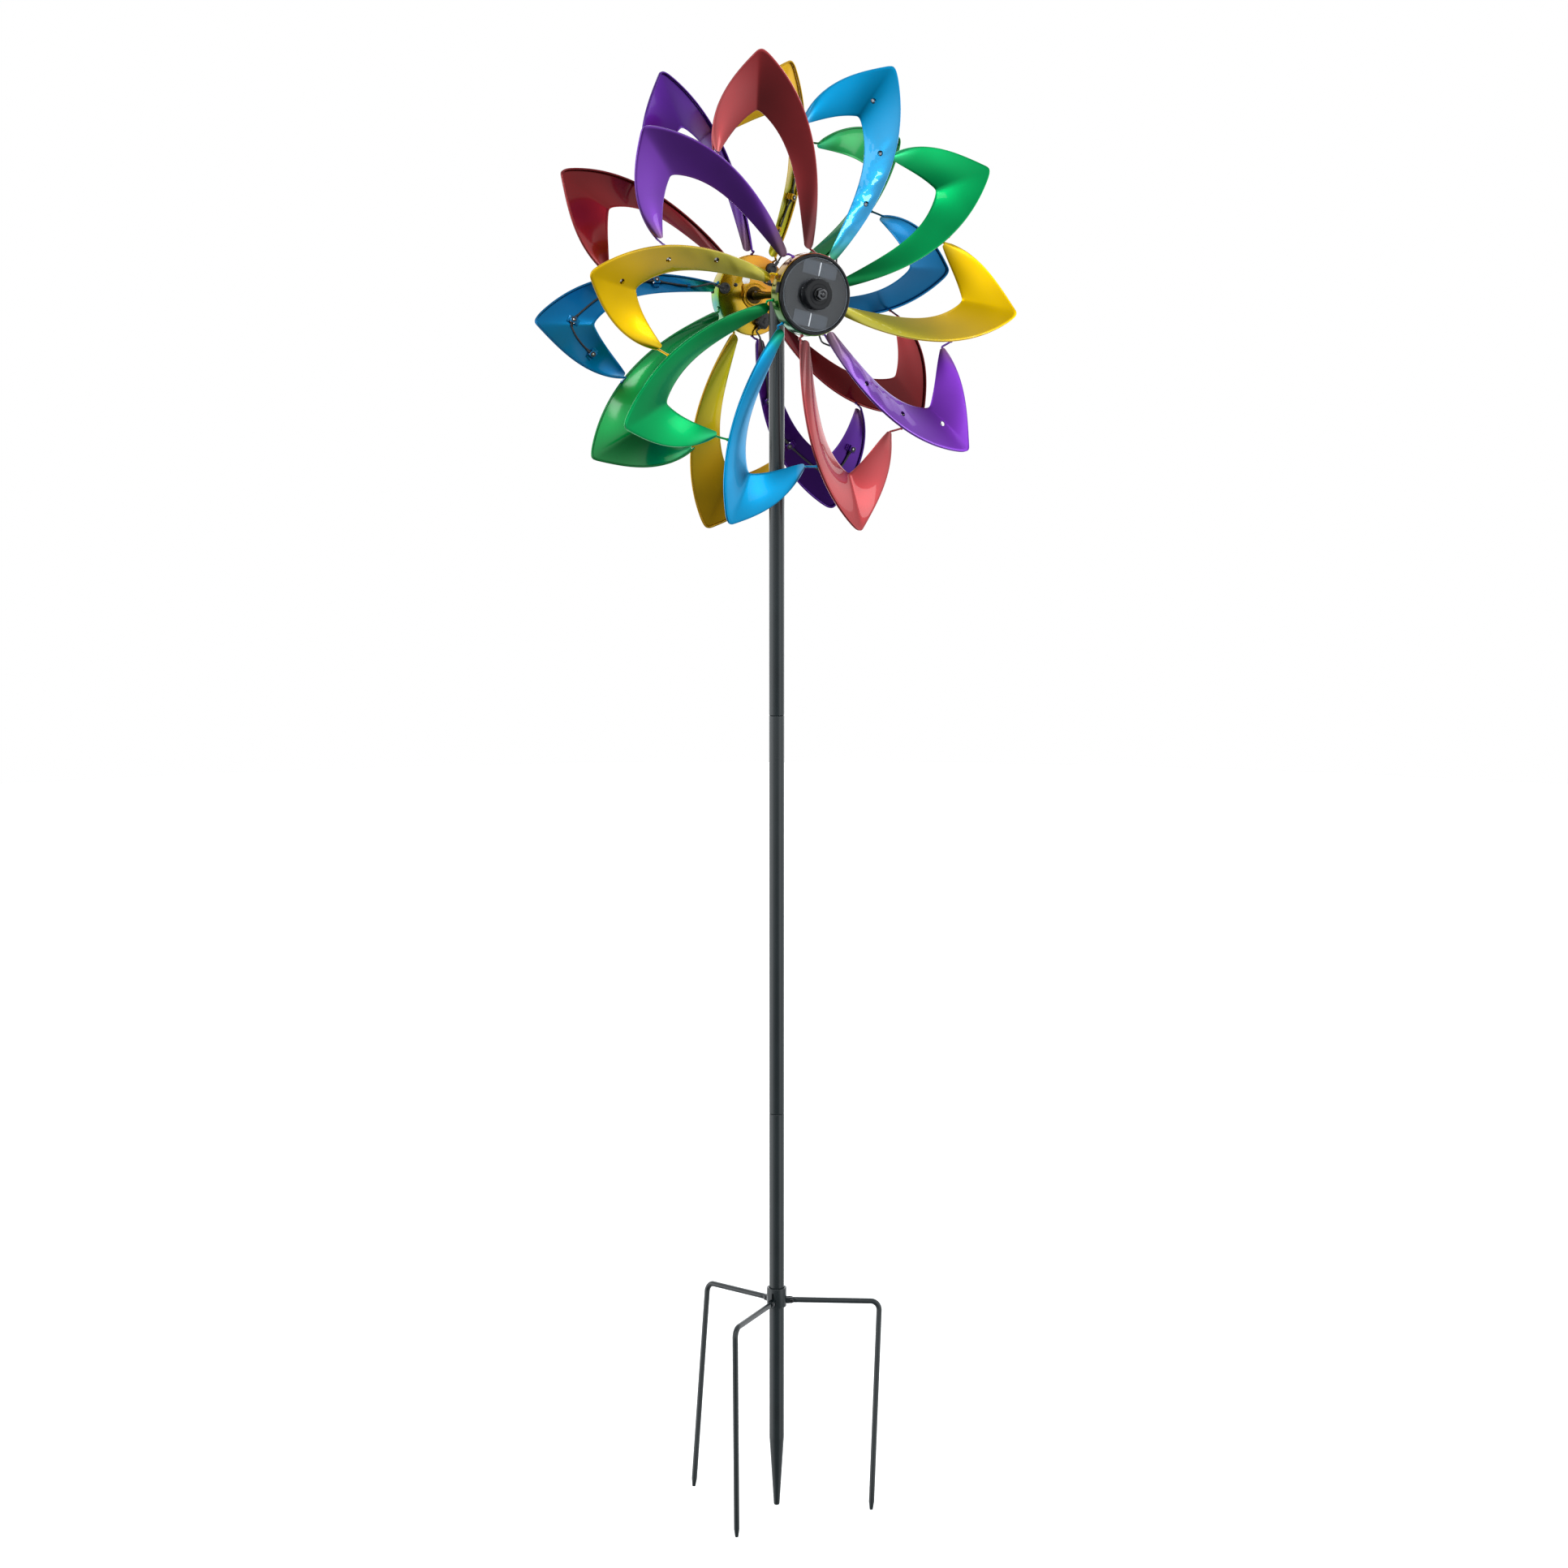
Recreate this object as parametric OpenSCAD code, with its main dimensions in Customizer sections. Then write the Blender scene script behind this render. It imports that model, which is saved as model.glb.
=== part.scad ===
// Garden windmill. Two rotors of ten painted blades turn on one axle, each with a solar light unit
// in its hub, on a three-piece pole with a ground spike and three hinged prongs.
// The ground line is z = 0 on the pole's axis, and the front rotor is on the -Y side.

/* [Pole] */
// Height of the axle above the ground line
axle_h = 1343; // [1200:1:1500]
// Outer diameter of the pole tube
pole_d = 20; // [18:0.5:20.5]
// Wall of the pole tube
pole_wall = 1.5; // [1:0.1:2]
// Height of the seam between the spike section and the middle section
lower_seam_z = 268; // [200:1:400]
// Height of the seam between the middle section and the top section
upper_seam_z = 802; // [600:1:1000]
// Length of the reduced spigot at each seam
spigot_len = 60; // [30:1:90]
// Depth of the spike's shoulder below the ground line
shoulder_depth = 184; // [120:1:240]
// Length of the spike below its shoulder
spike_len = 94; // [60:1:140]
// Diameter of the spike's blunt tip
spike_tip_d = 8; // [4:0.5:12]

/* [Collar and prongs] */
// Height of the collar
collar_h = 26; // [20:1:34]
// Wall of the collar
collar_wall = 2.6; // [1.6:0.1:3]
// Gap between the pole and the loose collar
collar_gap = 0.6; // [0.3:0.1:0.8]
// Distance of the hinge pins from the pole's axis
hinge_r = 19.5; // [19:0.5:24]
// Diameter of the prong rod
prong_d = 7.5; // [6:0.1:8]
// Distance of the prong's upright leg from the pole's axis
prong_reach = 140; // [100:1:180]
// Length of the prong's upright leg from the arm's middle
prong_len = 281; // [200:1:320]
// Radius of the prong's bend, at the rod's middle
prong_bend_r = 12; // [8:0.5:20]
// Thickness of the flattened eye at the prong's inner end
eye_t = 4; // [3:0.1:5]
// Diameter of the hinge pins
pin_d = 3.5; // [2.5:0.1:4]
// Directions of the left, front and right prongs, from +X
prong_az = [104, 218.5, -21.5]; // [-180:0.5:360]
// Tilt of each prong's arm where it hangs at rest
prong_tilt = [-4, 1.5, -3.5]; // [-6:0.5:6]
// Sideways lean of each prong's upright leg
prong_lean = [9, 1, -9]; // [-12:0.5:12]

/* [Axle] */
// Diameter of the axle between the hubs
axle_d = 9; // [8.5:0.1:10]
// Diameter of the axle's ends in the bearings
journal_d = 8; // [6:0.1:8.2]
// Diameter of the shoulders that the inner bearings meet
shoulder_d = 13; // [11:0.1:14]
// Distance of the front hub's middle from the pole's axis
front_hub_y = 88; // [80:1:120]
// Distance of the rear hub's middle from the pole's axis
rear_hub_y = 72; // [68:1:110]

/* [Blades] */
// Radius of the blade tips
tip_r = 310; // [290:1:330]
// Radius of the notch at the fold
notch_r = 236; // [225:1:250]
// Radius of the long limb's root
root_r = 57; // [56:0.5:62]
// Outer radius of the short limb's end
end_out_r = 221; // [218:0.5:226]
// Inner radius of the short limb's end
end_in_r = 211; // [206:0.5:214]
// Sheet thickness
sheet_t = 1; // [0.6:0.1:1.4]
// Height of the crown across each limb
crown = 1.2; // [0.6:0.1:1.6]
// Diameter of the rod welded along the outer edge
rod_d = 2.8; // [2:0.1:3.6]
// Turn of the first front blade from upright
front_phase = -9.75; // [-18:0.05:18]
// Turn of the first rear blade from upright
rear_phase = 15.6; // [-18:0.05:18]

/* [Hubs] */
// Outer diameter of the hub drum
drum_d = 103; // [101:0.5:106]
// Depth of the hub drum
drum_depth = 18; // [16:0.5:22]
// Wall of the hub drum
drum_t = 1.2; // [0.8:0.1:1.6]
// Outer diameter of the bearings
bearing_d = 22; // [20:0.5:23]
// Width of the bearings
bearing_w = 7; // [6:0.5:8]
// Wall of the bearing tube
tube_wall = 2; // [1.5:0.1:2.4]
// Height of the solar unit's rim in front of the drum
unit_proud = 4.5; // [3:0.1:7]
// Diameter of the solar unit's middle boss
boss_d = 38.5; // [34:0.5:42]
// Height of the solar unit's middle boss in front of the drum
boss_proud = 14; // [12:0.5:18]
// Width of a solar cell
cell_w = 23; // [18:0.5:24]
// Height of a solar cell
cell_h = 18; // [14:0.5:19]

/* [Lights] */
// Diameter of the holes in the blades that the lamps shine through
lamp_hole_d = 7; // [6:0.1:8]
// Diameter of the lamps
lamp_d = 5; // [4:0.1:5.4]
// Height of the lamp brackets behind the blade
bracket_h = 6; // [5:0.1:8]
// Diameter of the lamp cables
cable_d = 2.4; // [1.6:0.1:2.6]
// Diameter of the round cable glands
gland_d = 15; // [12:0.5:16]
// Radius of the glands' places on the drum
gland_r = 43; // [40:0.5:43.5]

/* [Hidden] */
$fn = 64;

// Clearances: between sliding pieces, between turning pieces, and between pieces side by side.
slide_gap = 0.1;
run_gap = 0.02;
side_gap = 0.3;

// Colours of the blades, clockwise from the first.
red = "#a3272c";
blue = "#0a8fd0";
green = "#128a47";
yellow = "#d8b100";
purple = "#6d35a8";
front_colours = [red, blue, green, yellow, purple, red, blue, green, yellow, purple];
rear_colours = [yellow, green, blue, red, purple, yellow, green, blue, red, purple];
coat = "#2b2d30";
gold = "#a98a1c";
black = "#1d1e20";

blade_pitch = 36;

// ---- pole ----

bore_r = pole_d / 2 - pole_wall;
spigot_r = bore_r - slide_gap;
spigot_wall = 1.2;
spigot_lap = 1;
spigot_sink = 5;
head_drop = 8;
pole_top_z = axle_h - head_drop;
head_plug_len = 30;
head_neck_d = 14;
head_rise = 8;
seam_bevel = 0.6;
spike_wall_len = 20;

// A tube from z0 to z1 with its edges bevelled, and a reduced spigot above it if wanted.
module pole_tube(z0, z1, spigot) {
  difference() {
    union() {
      translate([0, 0, z0]) cylinder(d1 = pole_d - 2 * seam_bevel, d2 = pole_d, h = seam_bevel);
      translate([0, 0, z0 + seam_bevel]) cylinder(d = pole_d, h = z1 - z0 - 2 * seam_bevel);
      translate([0, 0, z1 - seam_bevel]) cylinder(d1 = pole_d, d2 = pole_d - 2 * seam_bevel, h = seam_bevel);
      if (spigot) translate([0, 0, z1 - spigot_lap]) cylinder(r = spigot_r, h = spigot_len + spigot_lap);
    }
    translate([0, 0, z0 - 1]) cylinder(r = bore_r, h = z1 - z0 + (spigot ? 1 - spigot_wall * 2 : 2));
    if (spigot) translate([0, 0, z1 - spigot_sink])
      cylinder(r = spigot_r - spigot_wall, h = spigot_len + spigot_sink + 2);
  }
}

module pole_top() {
  color(coat) pole_tube(upper_seam_z, pole_top_z, false);
}

module pole_middle() {
  color(coat) pole_tube(lower_seam_z, upper_seam_z, true);
}

// The lowest section: a tube closed below by the solid spike, with the rolled bead under the collar.
module pole_spike() {
  color(coat) {
    pole_tube(spike_wall_len - shoulder_depth, lower_seam_z, true);
    translate([0, 0, -shoulder_depth]) cylinder(d = pole_d, h = spike_wall_len + seam_bevel);
    translate([0, 0, -shoulder_depth - spike_len])
      cylinder(d1 = spike_tip_d, d2 = pole_d, h = spike_len);
    rotate_extrude() polygon([
      [pole_d / 2 - pole_wall / 2, bead_z0], [pole_d / 2, bead_z0], [bead_r, bead_z0 + bead_h / 2],
      [bead_r, collar_z0], [pole_d / 2 - pole_wall / 2, collar_z0]]);
  }
}

// The head: a plug in the pole's top with a neck, cross bored for the axle.
module pole_head() {
  color(coat) difference() {
    union() {
      translate([0, 0, pole_top_z - head_plug_len]) cylinder(r = bore_r - slide_gap, h = head_plug_len);
      translate([0, 0, pole_top_z]) cylinder(d = head_neck_d, h = head_drop + head_rise - 1);
      translate([0, 0, axle_h + head_rise - 1]) cylinder(d1 = head_neck_d, d2 = head_neck_d - 2, h = 1);
    }
    translate([0, pole_d, axle_h]) rotate([90, 0, 0]) cylinder(d = axle_d + 2 * run_gap, h = 2 * pole_d);
  }
}

// ---- collar and prongs ----

// The pole is free from the spike up to the bead, and the loose collar rests on the bead.
bead_z0 = 0.25;
bead_h = 2;
collar_z0 = bead_z0 + bead_h;
arm_rise = 7.5;
arm_z = collar_z0 + arm_rise;
collar_in_r = pole_d / 2 + collar_gap;
bead_r = collar_in_r + 0.6;
collar_out_r = collar_in_r + collar_wall;
ear_t = 1.6;
ear_gap = 0.25;
ear_half = eye_t / 2 + ear_gap;
ear_r = 4;
slot_w = 3.2;
slot_h = 8;
pin_head_d = pin_d + 1.8;
pin_head_t = 1;
pin_half = ear_half + ear_t + 0.1;
taper_len = 11;
taper_d = 4.5;
arm_start = ear_r + 0.8;

// Puts a child that points along +X at a hinge, on prong i's side of the collar.
module at_hinge(i) {
  rotate([0, 0, prong_az[i]]) translate([hinge_r, 0, arm_z]) children();
}

// Drum along Y through the origin.
module cross_cylinder(d, half) {
  translate([0, half, 0]) rotate([90, 0, 0]) cylinder(d = d, h = 2 * half);
}

module collar_ear() {
  ear_in = hinge_r - collar_in_r - collar_wall / 2;
  difference() {
    union() {
      cross_cylinder(2 * ear_r, ear_half + ear_t);
      translate([-ear_in, -ear_half - ear_t, -ear_r]) cube([ear_in, 2 * (ear_half + ear_t), 2 * ear_r]);
    }
    translate([-ear_in + collar_wall / 2 - 0.01, -ear_half, -ear_r - 1])
      cube([ear_in + ear_r + 1, 2 * ear_half, 2 * ear_r + 2]);
    cross_cylinder(pin_d + 2 * slide_gap, ear_half + ear_t + 1);
  }
}

module collar() {
  color(coat) difference() {
    union() {
      translate([0, 0, collar_z0]) cylinder(r = collar_out_r, h = collar_h);
      for (i = [0:2]) at_hinge(i) collar_ear();
    }
    translate([0, 0, collar_z0 - 1]) cylinder(r = collar_in_r, h = collar_h + 2);
    for (i = [0:2]) rotate([0, 0, prong_az[i]])
      translate([collar_in_r - 1, -slot_w / 2, arm_z + ear_r + 0.5])
        cube([collar_wall + 2, slot_w, slot_h]);
  }
}

module collar_pins() {
  color(black) for (i = [0:2]) at_hinge(i) {
    cross_cylinder(pin_d, pin_half);
    for (s = [-1, 1]) translate([0, s * (pin_half + pin_head_t / 2), 0])
      cross_cylinder(pin_head_d, pin_head_t / 2);
  }
}

// One prong: a flattened eye, an arm, a bend and an upright leg with a blunt point.
module prong(i) {
  arm_end = prong_reach - hinge_r - prong_bend_r;
  leg = prong_len - prong_bend_r - taper_len;
  color(coat) at_hinge(i) rotate([0, -prong_tilt[i], 0]) difference() {
    union() {
      cross_cylinder(prong_d, eye_t / 2);
      translate([0, -eye_t / 2, -prong_d / 2]) cube([arm_start + 1, eye_t, prong_d]);
      translate([arm_start, 0, 0]) rotate([0, 90, 0]) cylinder(d = prong_d, h = arm_end - arm_start);
      rotate([prong_lean[i], 0, 0]) translate([arm_end, 0, -prong_bend_r]) {
        rotate([90, 0, 0]) rotate_extrude(angle = 90) translate([prong_bend_r, 0]) circle(d = prong_d);
        translate([prong_bend_r, 0, -leg]) cylinder(d = prong_d, h = leg);
        translate([prong_bend_r, 0, -leg - taper_len]) cylinder(d1 = taper_d, d2 = prong_d, h = taper_len);
      }
    }
    cross_cylinder(pin_d + 2 * slide_gap, prong_d);
  }
}

module prong_left() { prong(0); }
module prong_front() { prong(1); }
module prong_right() { prong(2); }

// ---- hub layout: w is the distance outwards from the hub's middle plane, along the axle ----

plate_w = -drum_depth / 2;
drum_front_w = drum_depth / 2;
unit_rim_w = drum_front_w + unit_proud;
unit_cover_t = 1;
cell_t = 1;
unit_cover_w = unit_rim_w - 0.8 - unit_cover_t;
cell_back_w = unit_cover_w - cell_t;
face_t = 1.5;
face_back_w = cell_back_w - face_t;
boss_front_w = drum_front_w + boss_proud;
boss_lip_t = 0.8;
tube_r = bearing_d / 2 + tube_wall;
tube_back_w = plate_w - 3.4;
tube_front_w = boss_front_w - boss_lip_t - side_gap;
flange_t = 1.5;
shoulder_w = tube_back_w - 0.2;
shoulder_len = 10;
taper_w = 23;
washer_back_w = tube_front_w + 0.2;
washer_flange_w = boss_front_w + 0.4;
washer_d = 16;
washer_t = 1.5;
nut_af = 13;
nut_h = 6.5;
nut_w = washer_flange_w + washer_t;
axle_end_w = nut_w + nut_h + 0.5;
dome_h = 1.6;

// Stands a part drawn with its axis along Z, outwards, on the rotor's axis. Its y is then up.
module on_axis(w = 0) {
  translate([0, -w, 0]) rotate([90, 0, 0]) children();
}

// Places a rotor part, drawn about the hub's middle with the outside at -Y.
module front() {
  translate([0, -front_hub_y, axle_h]) children();
}

module rear() {
  translate([0, rear_hub_y, axle_h]) mirror([0, 1, 0]) children();
}

// Moves a part on the axis to a clock angle a and a radius r, turned so that its y points outwards.
module clock(a, r) {
  rotate([0, 0, -a]) translate([0, r, 0]) children();
}

// Half of the axle, from the pole's axis to one end, for a hub whose middle is hub_y away.
module half_axle(hub_y) {
  rotate([90, 0, 0]) {
    cylinder(d = axle_d, h = hub_y + shoulder_w - shoulder_len + 1);
    translate([0, 0, hub_y + shoulder_w - shoulder_len - taper_w])
      cylinder(d1 = axle_d, d2 = shoulder_d, h = taper_w);
    translate([0, 0, hub_y + shoulder_w - shoulder_len]) cylinder(d = shoulder_d, h = shoulder_len);
    translate([0, 0, hub_y + shoulder_w - 1])
      cylinder(d = journal_d, h = axle_end_w - shoulder_w + 1 - dome_h);
    translate([0, 0, hub_y + axle_end_w - dome_h])
      cylinder(d1 = journal_d, d2 = journal_d - 2.4, h = dome_h);
  }
}

module axle() {
  color(black) translate([0, 0, axle_h]) {
    half_axle(front_hub_y);
    mirror([0, 1, 0]) half_axle(rear_hub_y);
  }
}

module axle_washer() {
  difference() {
    union() {
      on_axis(washer_back_w) cylinder(d = journal_d + 4, h = washer_flange_w - washer_back_w + 0.1);
      on_axis(washer_flange_w) cylinder(d = washer_d, h = washer_t);
    }
    on_axis(washer_back_w - 1) cylinder(d = journal_d + 2 * run_gap, h = 10);
  }
}

module axle_nut() {
  on_axis(nut_w) difference() {
    intersection() {
      cylinder(d = nut_af / cos(30), h = nut_h, $fn = 6);
      cylinder(d1 = nut_af / cos(30) + 10, d2 = nut_af - 0.6, h = nut_h + 2.2);
    }
    translate([0, 0, -1]) cylinder(d = journal_d + 2 * run_gap, h = nut_h + 2);
  }
}

module axle_washers() {
  color(black) {
    front() axle_washer();
    rear() axle_washer();
  }
}

module axle_nuts() {
  color(black) {
    front() axle_nut();
    rear() axle_nut();
  }
}

// ---- hub drum and bearings ----

flange_r = 16.5;
lobe_r = 4.2;
lobe_at = 16.6;
lobe_step = 0.15;
lobe_as = [-50, 70, 190];
screw_r = 29;
screw_as = [-63, 54, 178];
screw_d = 2.6;
screw_head_d = 5.2;
screw_head_h = 1.6;
lug_a = -80;
lug_w = 14;
lug_at = 44;
lug_l = 8.4;
lug_w0 = 4;

module hub_drum() {
  color(gold) on_axis() difference() {
    translate([0, 0, plate_w]) cylinder(d = drum_d, h = drum_depth);
    translate([0, 0, plate_w + drum_t]) cylinder(d = drum_d - 2 * drum_t, h = drum_depth);
    translate([0, 0, plate_w - 1]) cylinder(r = tube_r + 2 * slide_gap, h = drum_t + 2);
    for (a = screw_as) clock(a, screw_r) translate([0, 0, plate_w - 1])
      cylinder(d = screw_d + 0.6, h = drum_t + 2);
    clock(lug_a, lug_at) translate([-lug_w / 2 - side_gap, 0, lug_w0 - side_gap])
      cube([lug_w + 2 * side_gap, 2 * lug_l, drum_depth]);
  }
}

// The steel tube that holds both bearings, with its three-lobed flange on the drum's inner face.
module bearing_tube() {
  color(gold) on_axis() difference() {
    union() {
      translate([0, 0, tube_back_w]) cylinder(r = tube_r, h = tube_front_w - tube_back_w);
      translate([0, 0, plate_w - flange_t]) cylinder(r = flange_r, h = flange_t);
      for (a = lobe_as) clock(a, lobe_at) translate([0, 0, plate_w - flange_t + lobe_step])
        cylinder(r = lobe_r, h = flange_t - 2 * lobe_step);
    }
    translate([0, 0, tube_back_w - 1]) cylinder(d = bearing_d + 2 * run_gap, h = bearing_w + 1);
    translate([0, 0, tube_front_w - bearing_w]) cylinder(d = bearing_d + 2 * run_gap, h = bearing_w + 1);
    translate([0, 0, tube_back_w - 1]) cylinder(d = bearing_d - 3, h = tube_front_w - tube_back_w + 2);
  }
}

// A shielded ball bearing, its faces recessed between the two races.
module bearing() {
  race = 2.2;
  rotate_extrude() polygon([
    [journal_d / 2 + run_gap, 0], [journal_d / 2 + race, 0], [journal_d / 2 + race, 0.4],
    [bearing_d / 2 - race, 0.4], [bearing_d / 2 - race, 0], [bearing_d / 2, 0],
    [bearing_d / 2, bearing_w], [bearing_d / 2 - race, bearing_w],
    [bearing_d / 2 - race, bearing_w - 0.4], [journal_d / 2 + race, bearing_w - 0.4],
    [journal_d / 2 + race, bearing_w], [journal_d / 2 + run_gap, bearing_w]]);
}

module bearings() {
  color("silver") {
    on_axis(tube_back_w) bearing();
    on_axis(tube_front_w - bearing_w) bearing();
  }
}

module hub_screws() {
  color(black) on_axis() for (a = screw_as) clock(a, screw_r) {
    translate([0, 0, plate_w - screw_head_h]) cylinder(d = screw_head_d, h = screw_head_h);
    translate([0, 0, plate_w - 0.1]) cylinder(d = screw_d, h = 9);
  }
}

// ---- solar unit ----

unit_r = drum_d / 2 - drum_t - side_gap;
unit_wall = 1.6;
unit_back_w = plate_w + drum_t + side_gap;
rim_w = 3.6;
cell_a = 13;
cell_gap = 2.6;
cell_at = 32;
post_r = 3;
battery_d = 10.5;
battery_len = 44.5;
battery_at = 35;
battery_a = -90;
board_a = 90;
board_at = 32;
board_l = 26;
board_h = 20;
board_post = 8;
board_t = 1.6;
board_w = -1;

// The moulded housing: outer wall with a rounded rim, front face, middle boss, posts and a cradle.
module solar_housing() {
  color(black) on_axis() difference() {
    union() {
      rotate_extrude() polygon([
        [unit_r - unit_wall, unit_back_w], [unit_r, unit_back_w], [unit_r, unit_rim_w - 1.6],
        [unit_r - 0.5, unit_rim_w - 0.5], [unit_r - 1.6, unit_rim_w],
        [unit_r - rim_w + 0.6, unit_rim_w], [unit_r - rim_w, unit_rim_w - 0.6],
        [unit_r - rim_w, cell_back_w], [boss_d / 2, cell_back_w],
        [boss_d / 2, boss_front_w - 0.8], [boss_d / 2 - 0.8, boss_front_w],
        [washer_d / 2 - 1.5, boss_front_w], [washer_d / 2 - 1.5, boss_front_w - boss_lip_t],
        [tube_r + side_gap, boss_front_w - boss_lip_t], [tube_r + side_gap, face_back_w],
        [unit_r - unit_wall, face_back_w]]);
      clock(lug_a, lug_at) translate([-lug_w / 2, 0, lug_w0])
        cube([lug_w, lug_l, face_back_w + face_t / 2 - lug_w0]);
      for (a = screw_as) clock(a, screw_r) translate([0, 0, unit_back_w])
        cylinder(r = post_r, h = face_back_w - unit_back_w + 0.5);
      for (s = [-1, 1]) clock(board_a, board_at) translate([s * board_post, 0, board_w + board_t])
        cylinder(r = post_r, h = face_back_w - board_w - board_t + 0.5);
      for (s = [-1, 1]) clock(battery_a, battery_at) translate([s * 14 - 1, -7, face_back_w - 6])
        cube([2, 14, 6.5]);
    }
    for (a = screw_as) clock(a, screw_r) translate([0, 0, unit_back_w - 1])
      cylinder(d = screw_d + 2 * slide_gap, h = 11);
    clock(battery_a, battery_at) translate([0, 0, battery_w]) rotate([0, 90, 0])
      translate([0, 0, -battery_len / 2 - 1]) cylinder(d = battery_d + side_gap, h = battery_len + 2);
  }
}

battery_w = face_back_w - battery_d / 2 - side_gap;

module solar_cells() {
  color("#1d2a4a") on_axis(cell_back_w) intersection() {
    for (h = [0, 180]) clock(h + cell_a, cell_at)
      for (s = [-1, 1]) translate([s * (cell_w + cell_gap) / 2 - cell_w / 2, -cell_h / 2, 0])
        cube([cell_w, cell_h, cell_t]);
    translate([0, 0, -1]) cylinder(r = unit_r - rim_w - side_gap, h = cell_t + 2);
  }
}

// The clear cover: a flat ring over the cells, inside the rim.
module solar_cover() {
  color("#3a3f46") on_axis(unit_cover_w) difference() {
    cylinder(r = unit_r - rim_w - side_gap, h = unit_cover_t);
    translate([0, 0, -1]) cylinder(d = boss_d + 2 * side_gap, h = unit_cover_t + 2);
  }
}

module circuit_board() {
  color("#1e5c35") on_axis(board_w) clock(board_a, board_at) {
    translate([-board_l / 2, -board_h / 2, 0]) cube([board_l, board_h, board_t]);
    translate([-8, -4, -1.4]) cube([9, 7, 1.5]);
    translate([7, 0, -2]) cylinder(d = 5, h = 2.1);
  }
}

module battery() {
  color("#3c8f4c") on_axis(battery_w) clock(battery_a, battery_at)
    rotate([0, 90, 0]) {
      translate([0, 0, -battery_len / 2]) cylinder(d = battery_d, h = battery_len - 1);
      translate([0, 0, battery_len / 2 - 1.1]) cylinder(d = 4, h = 1.1);
    }
}

// ---- cable glands and switch box on the drum's inner face ----

gland_h = 4;
stem_w = plate_w - gland_h - 0.5;
stem_d = cable_d + 1.6;
stem_len = gland_d / 2 + 4;
box_w = 16;
box_l = 20;
box_h = 10;
box_corner = 3;
box_at = 34.5;
front_gland_as = [50, 158, 284];
rear_gland_as = [38, 282];
front_box = [200, -38];
rear_box = [158, 58];
box_stem = 4;

// Where a cable leaves the switch box: clock angle, radius, w, and the clock angle of its aim.
function box_exit(place) = let (reach = box_l / 2 + box_stem + side_gap,
    x = box_at * sin(place[0]) + reach * sin(place[0] + place[1]),
    y = box_at * cos(place[0]) + reach * cos(place[0] + place[1]))
  [atan2(x, y), norm([x, y]), plate_w - box_h / 2, place[0] + place[1]];

module cable_gland(a) {
  clock(a, gland_r) {
    translate([0, 0, plate_w - gland_h]) cylinder(d = gland_d, h = gland_h);
    translate([0, 0, plate_w - gland_h - 1.6]) cylinder(d1 = gland_d - 7, d2 = gland_d, h = 1.6);
    translate([0, 0, stem_w]) rotate([-90, 0, 0]) cylinder(d = stem_d, h = stem_len);
  }
}

// A box with round upright corners.
module round_box(w, l, h, r) {
  translate([-w / 2 + r, -l / 2, 0]) cube([w - 2 * r, l, h]);
  translate([-w / 2, -l / 2 + r, 0]) cube([w, l - 2 * r, h]);
  for (x = [-1, 1]) for (y = [-1, 1]) translate([x * (w / 2 - r), y * (l / 2 - r), 0])
    cylinder(r = r, h = h);
}

// The round glands and the switch box that a rotor's cables leave from.
module cable_outlets(gland_as, place) {
  color(black) on_axis() for (a = gland_as) cable_gland(a);
  switch_box(place);
}

// The switch box sits at place[0] on the clock, and its long side is turned by place[1] more.
module switch_box(place) {
  color(black) on_axis() clock(place[0], box_at) rotate([0, 0, -place[1]])
    translate([0, 0, plate_w - box_h]) {
      round_box(box_w, box_l, box_h, box_corner);
      translate([0, box_l / 2 - 1, box_h / 2]) rotate([-90, 0, 0]) cylinder(d = stem_d, h = box_stem + 1);
      translate([0, -2, -1.4]) round_box(4, 7, 2, 1);
    }
}

// ---- blades ----

// Handles of the four edge curves. Angles are clockwise from the blade's own line, heights are w.
tip_a = -3.6;
tip_w = 5;
notch_a = -6.4;
notch_w = -17;
root_out_a = 18.2;
root_in_a = 6.8;
root_out_w = -11;
root_in_w = -9.2;
end_a = -26;
end_out_w = -16.2;
end_in_w = -12.4;
long_out_a = [8.2, 13.7];
long_out_w = [13.1, 5.4];
long_in_a = [4.9, 3];
long_in_w = [-8.8, -9.8];
short_out_dip = [26, 42];
short_out_w = [-11, -15.6];
short_in_dip = [6, 20];
short_in_w = [-21, -20.1];
tip_soften = 0.05;
end_round = 0.05;
root_round = 0.03;

// A cubic curve through its end values p and s, drawn towards its handle values q and r.
function curve(p, q, r, s, t) =
  pow(1 - t, 3) * p + 3 * pow(1 - t, 2) * t * q + 3 * (1 - t) * t * t * r + pow(t, 3) * s;
function line(p, s, t) = p + (s - p) * t;
function polar(r, a, w) = [r * sin(a), -w, r * cos(a)];

// Station u runs from -1, the short limb's end, through 0, the fold, to 1, the long limb's root.
function raw_out(u) = u < 0
  ? polar(curve(tip_r, tip_r - short_out_dip[0], tip_r - short_out_dip[1], end_out_r, -u),
          line(tip_a, end_a, -u), curve(tip_w, short_out_w[0], short_out_w[1], end_out_w, -u))
  : polar(line(tip_r, root_r, u), curve(tip_a, long_out_a[0], long_out_a[1], root_out_a, u),
          curve(tip_w, long_out_w[0], long_out_w[1], root_out_w, u));
function raw_in(u) = u < 0
  ? polar(curve(notch_r, notch_r - short_in_dip[0], notch_r - short_in_dip[1], end_in_r, -u),
          line(notch_a, end_a, -u), curve(notch_w, short_in_w[0], short_in_w[1], end_in_w, -u))
  : polar(line(notch_r, root_r, u), curve(notch_a, long_in_a[0], long_in_a[1], root_in_a, u),
          curve(notch_w, long_in_w[0], long_in_w[1], root_in_w, u));

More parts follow.
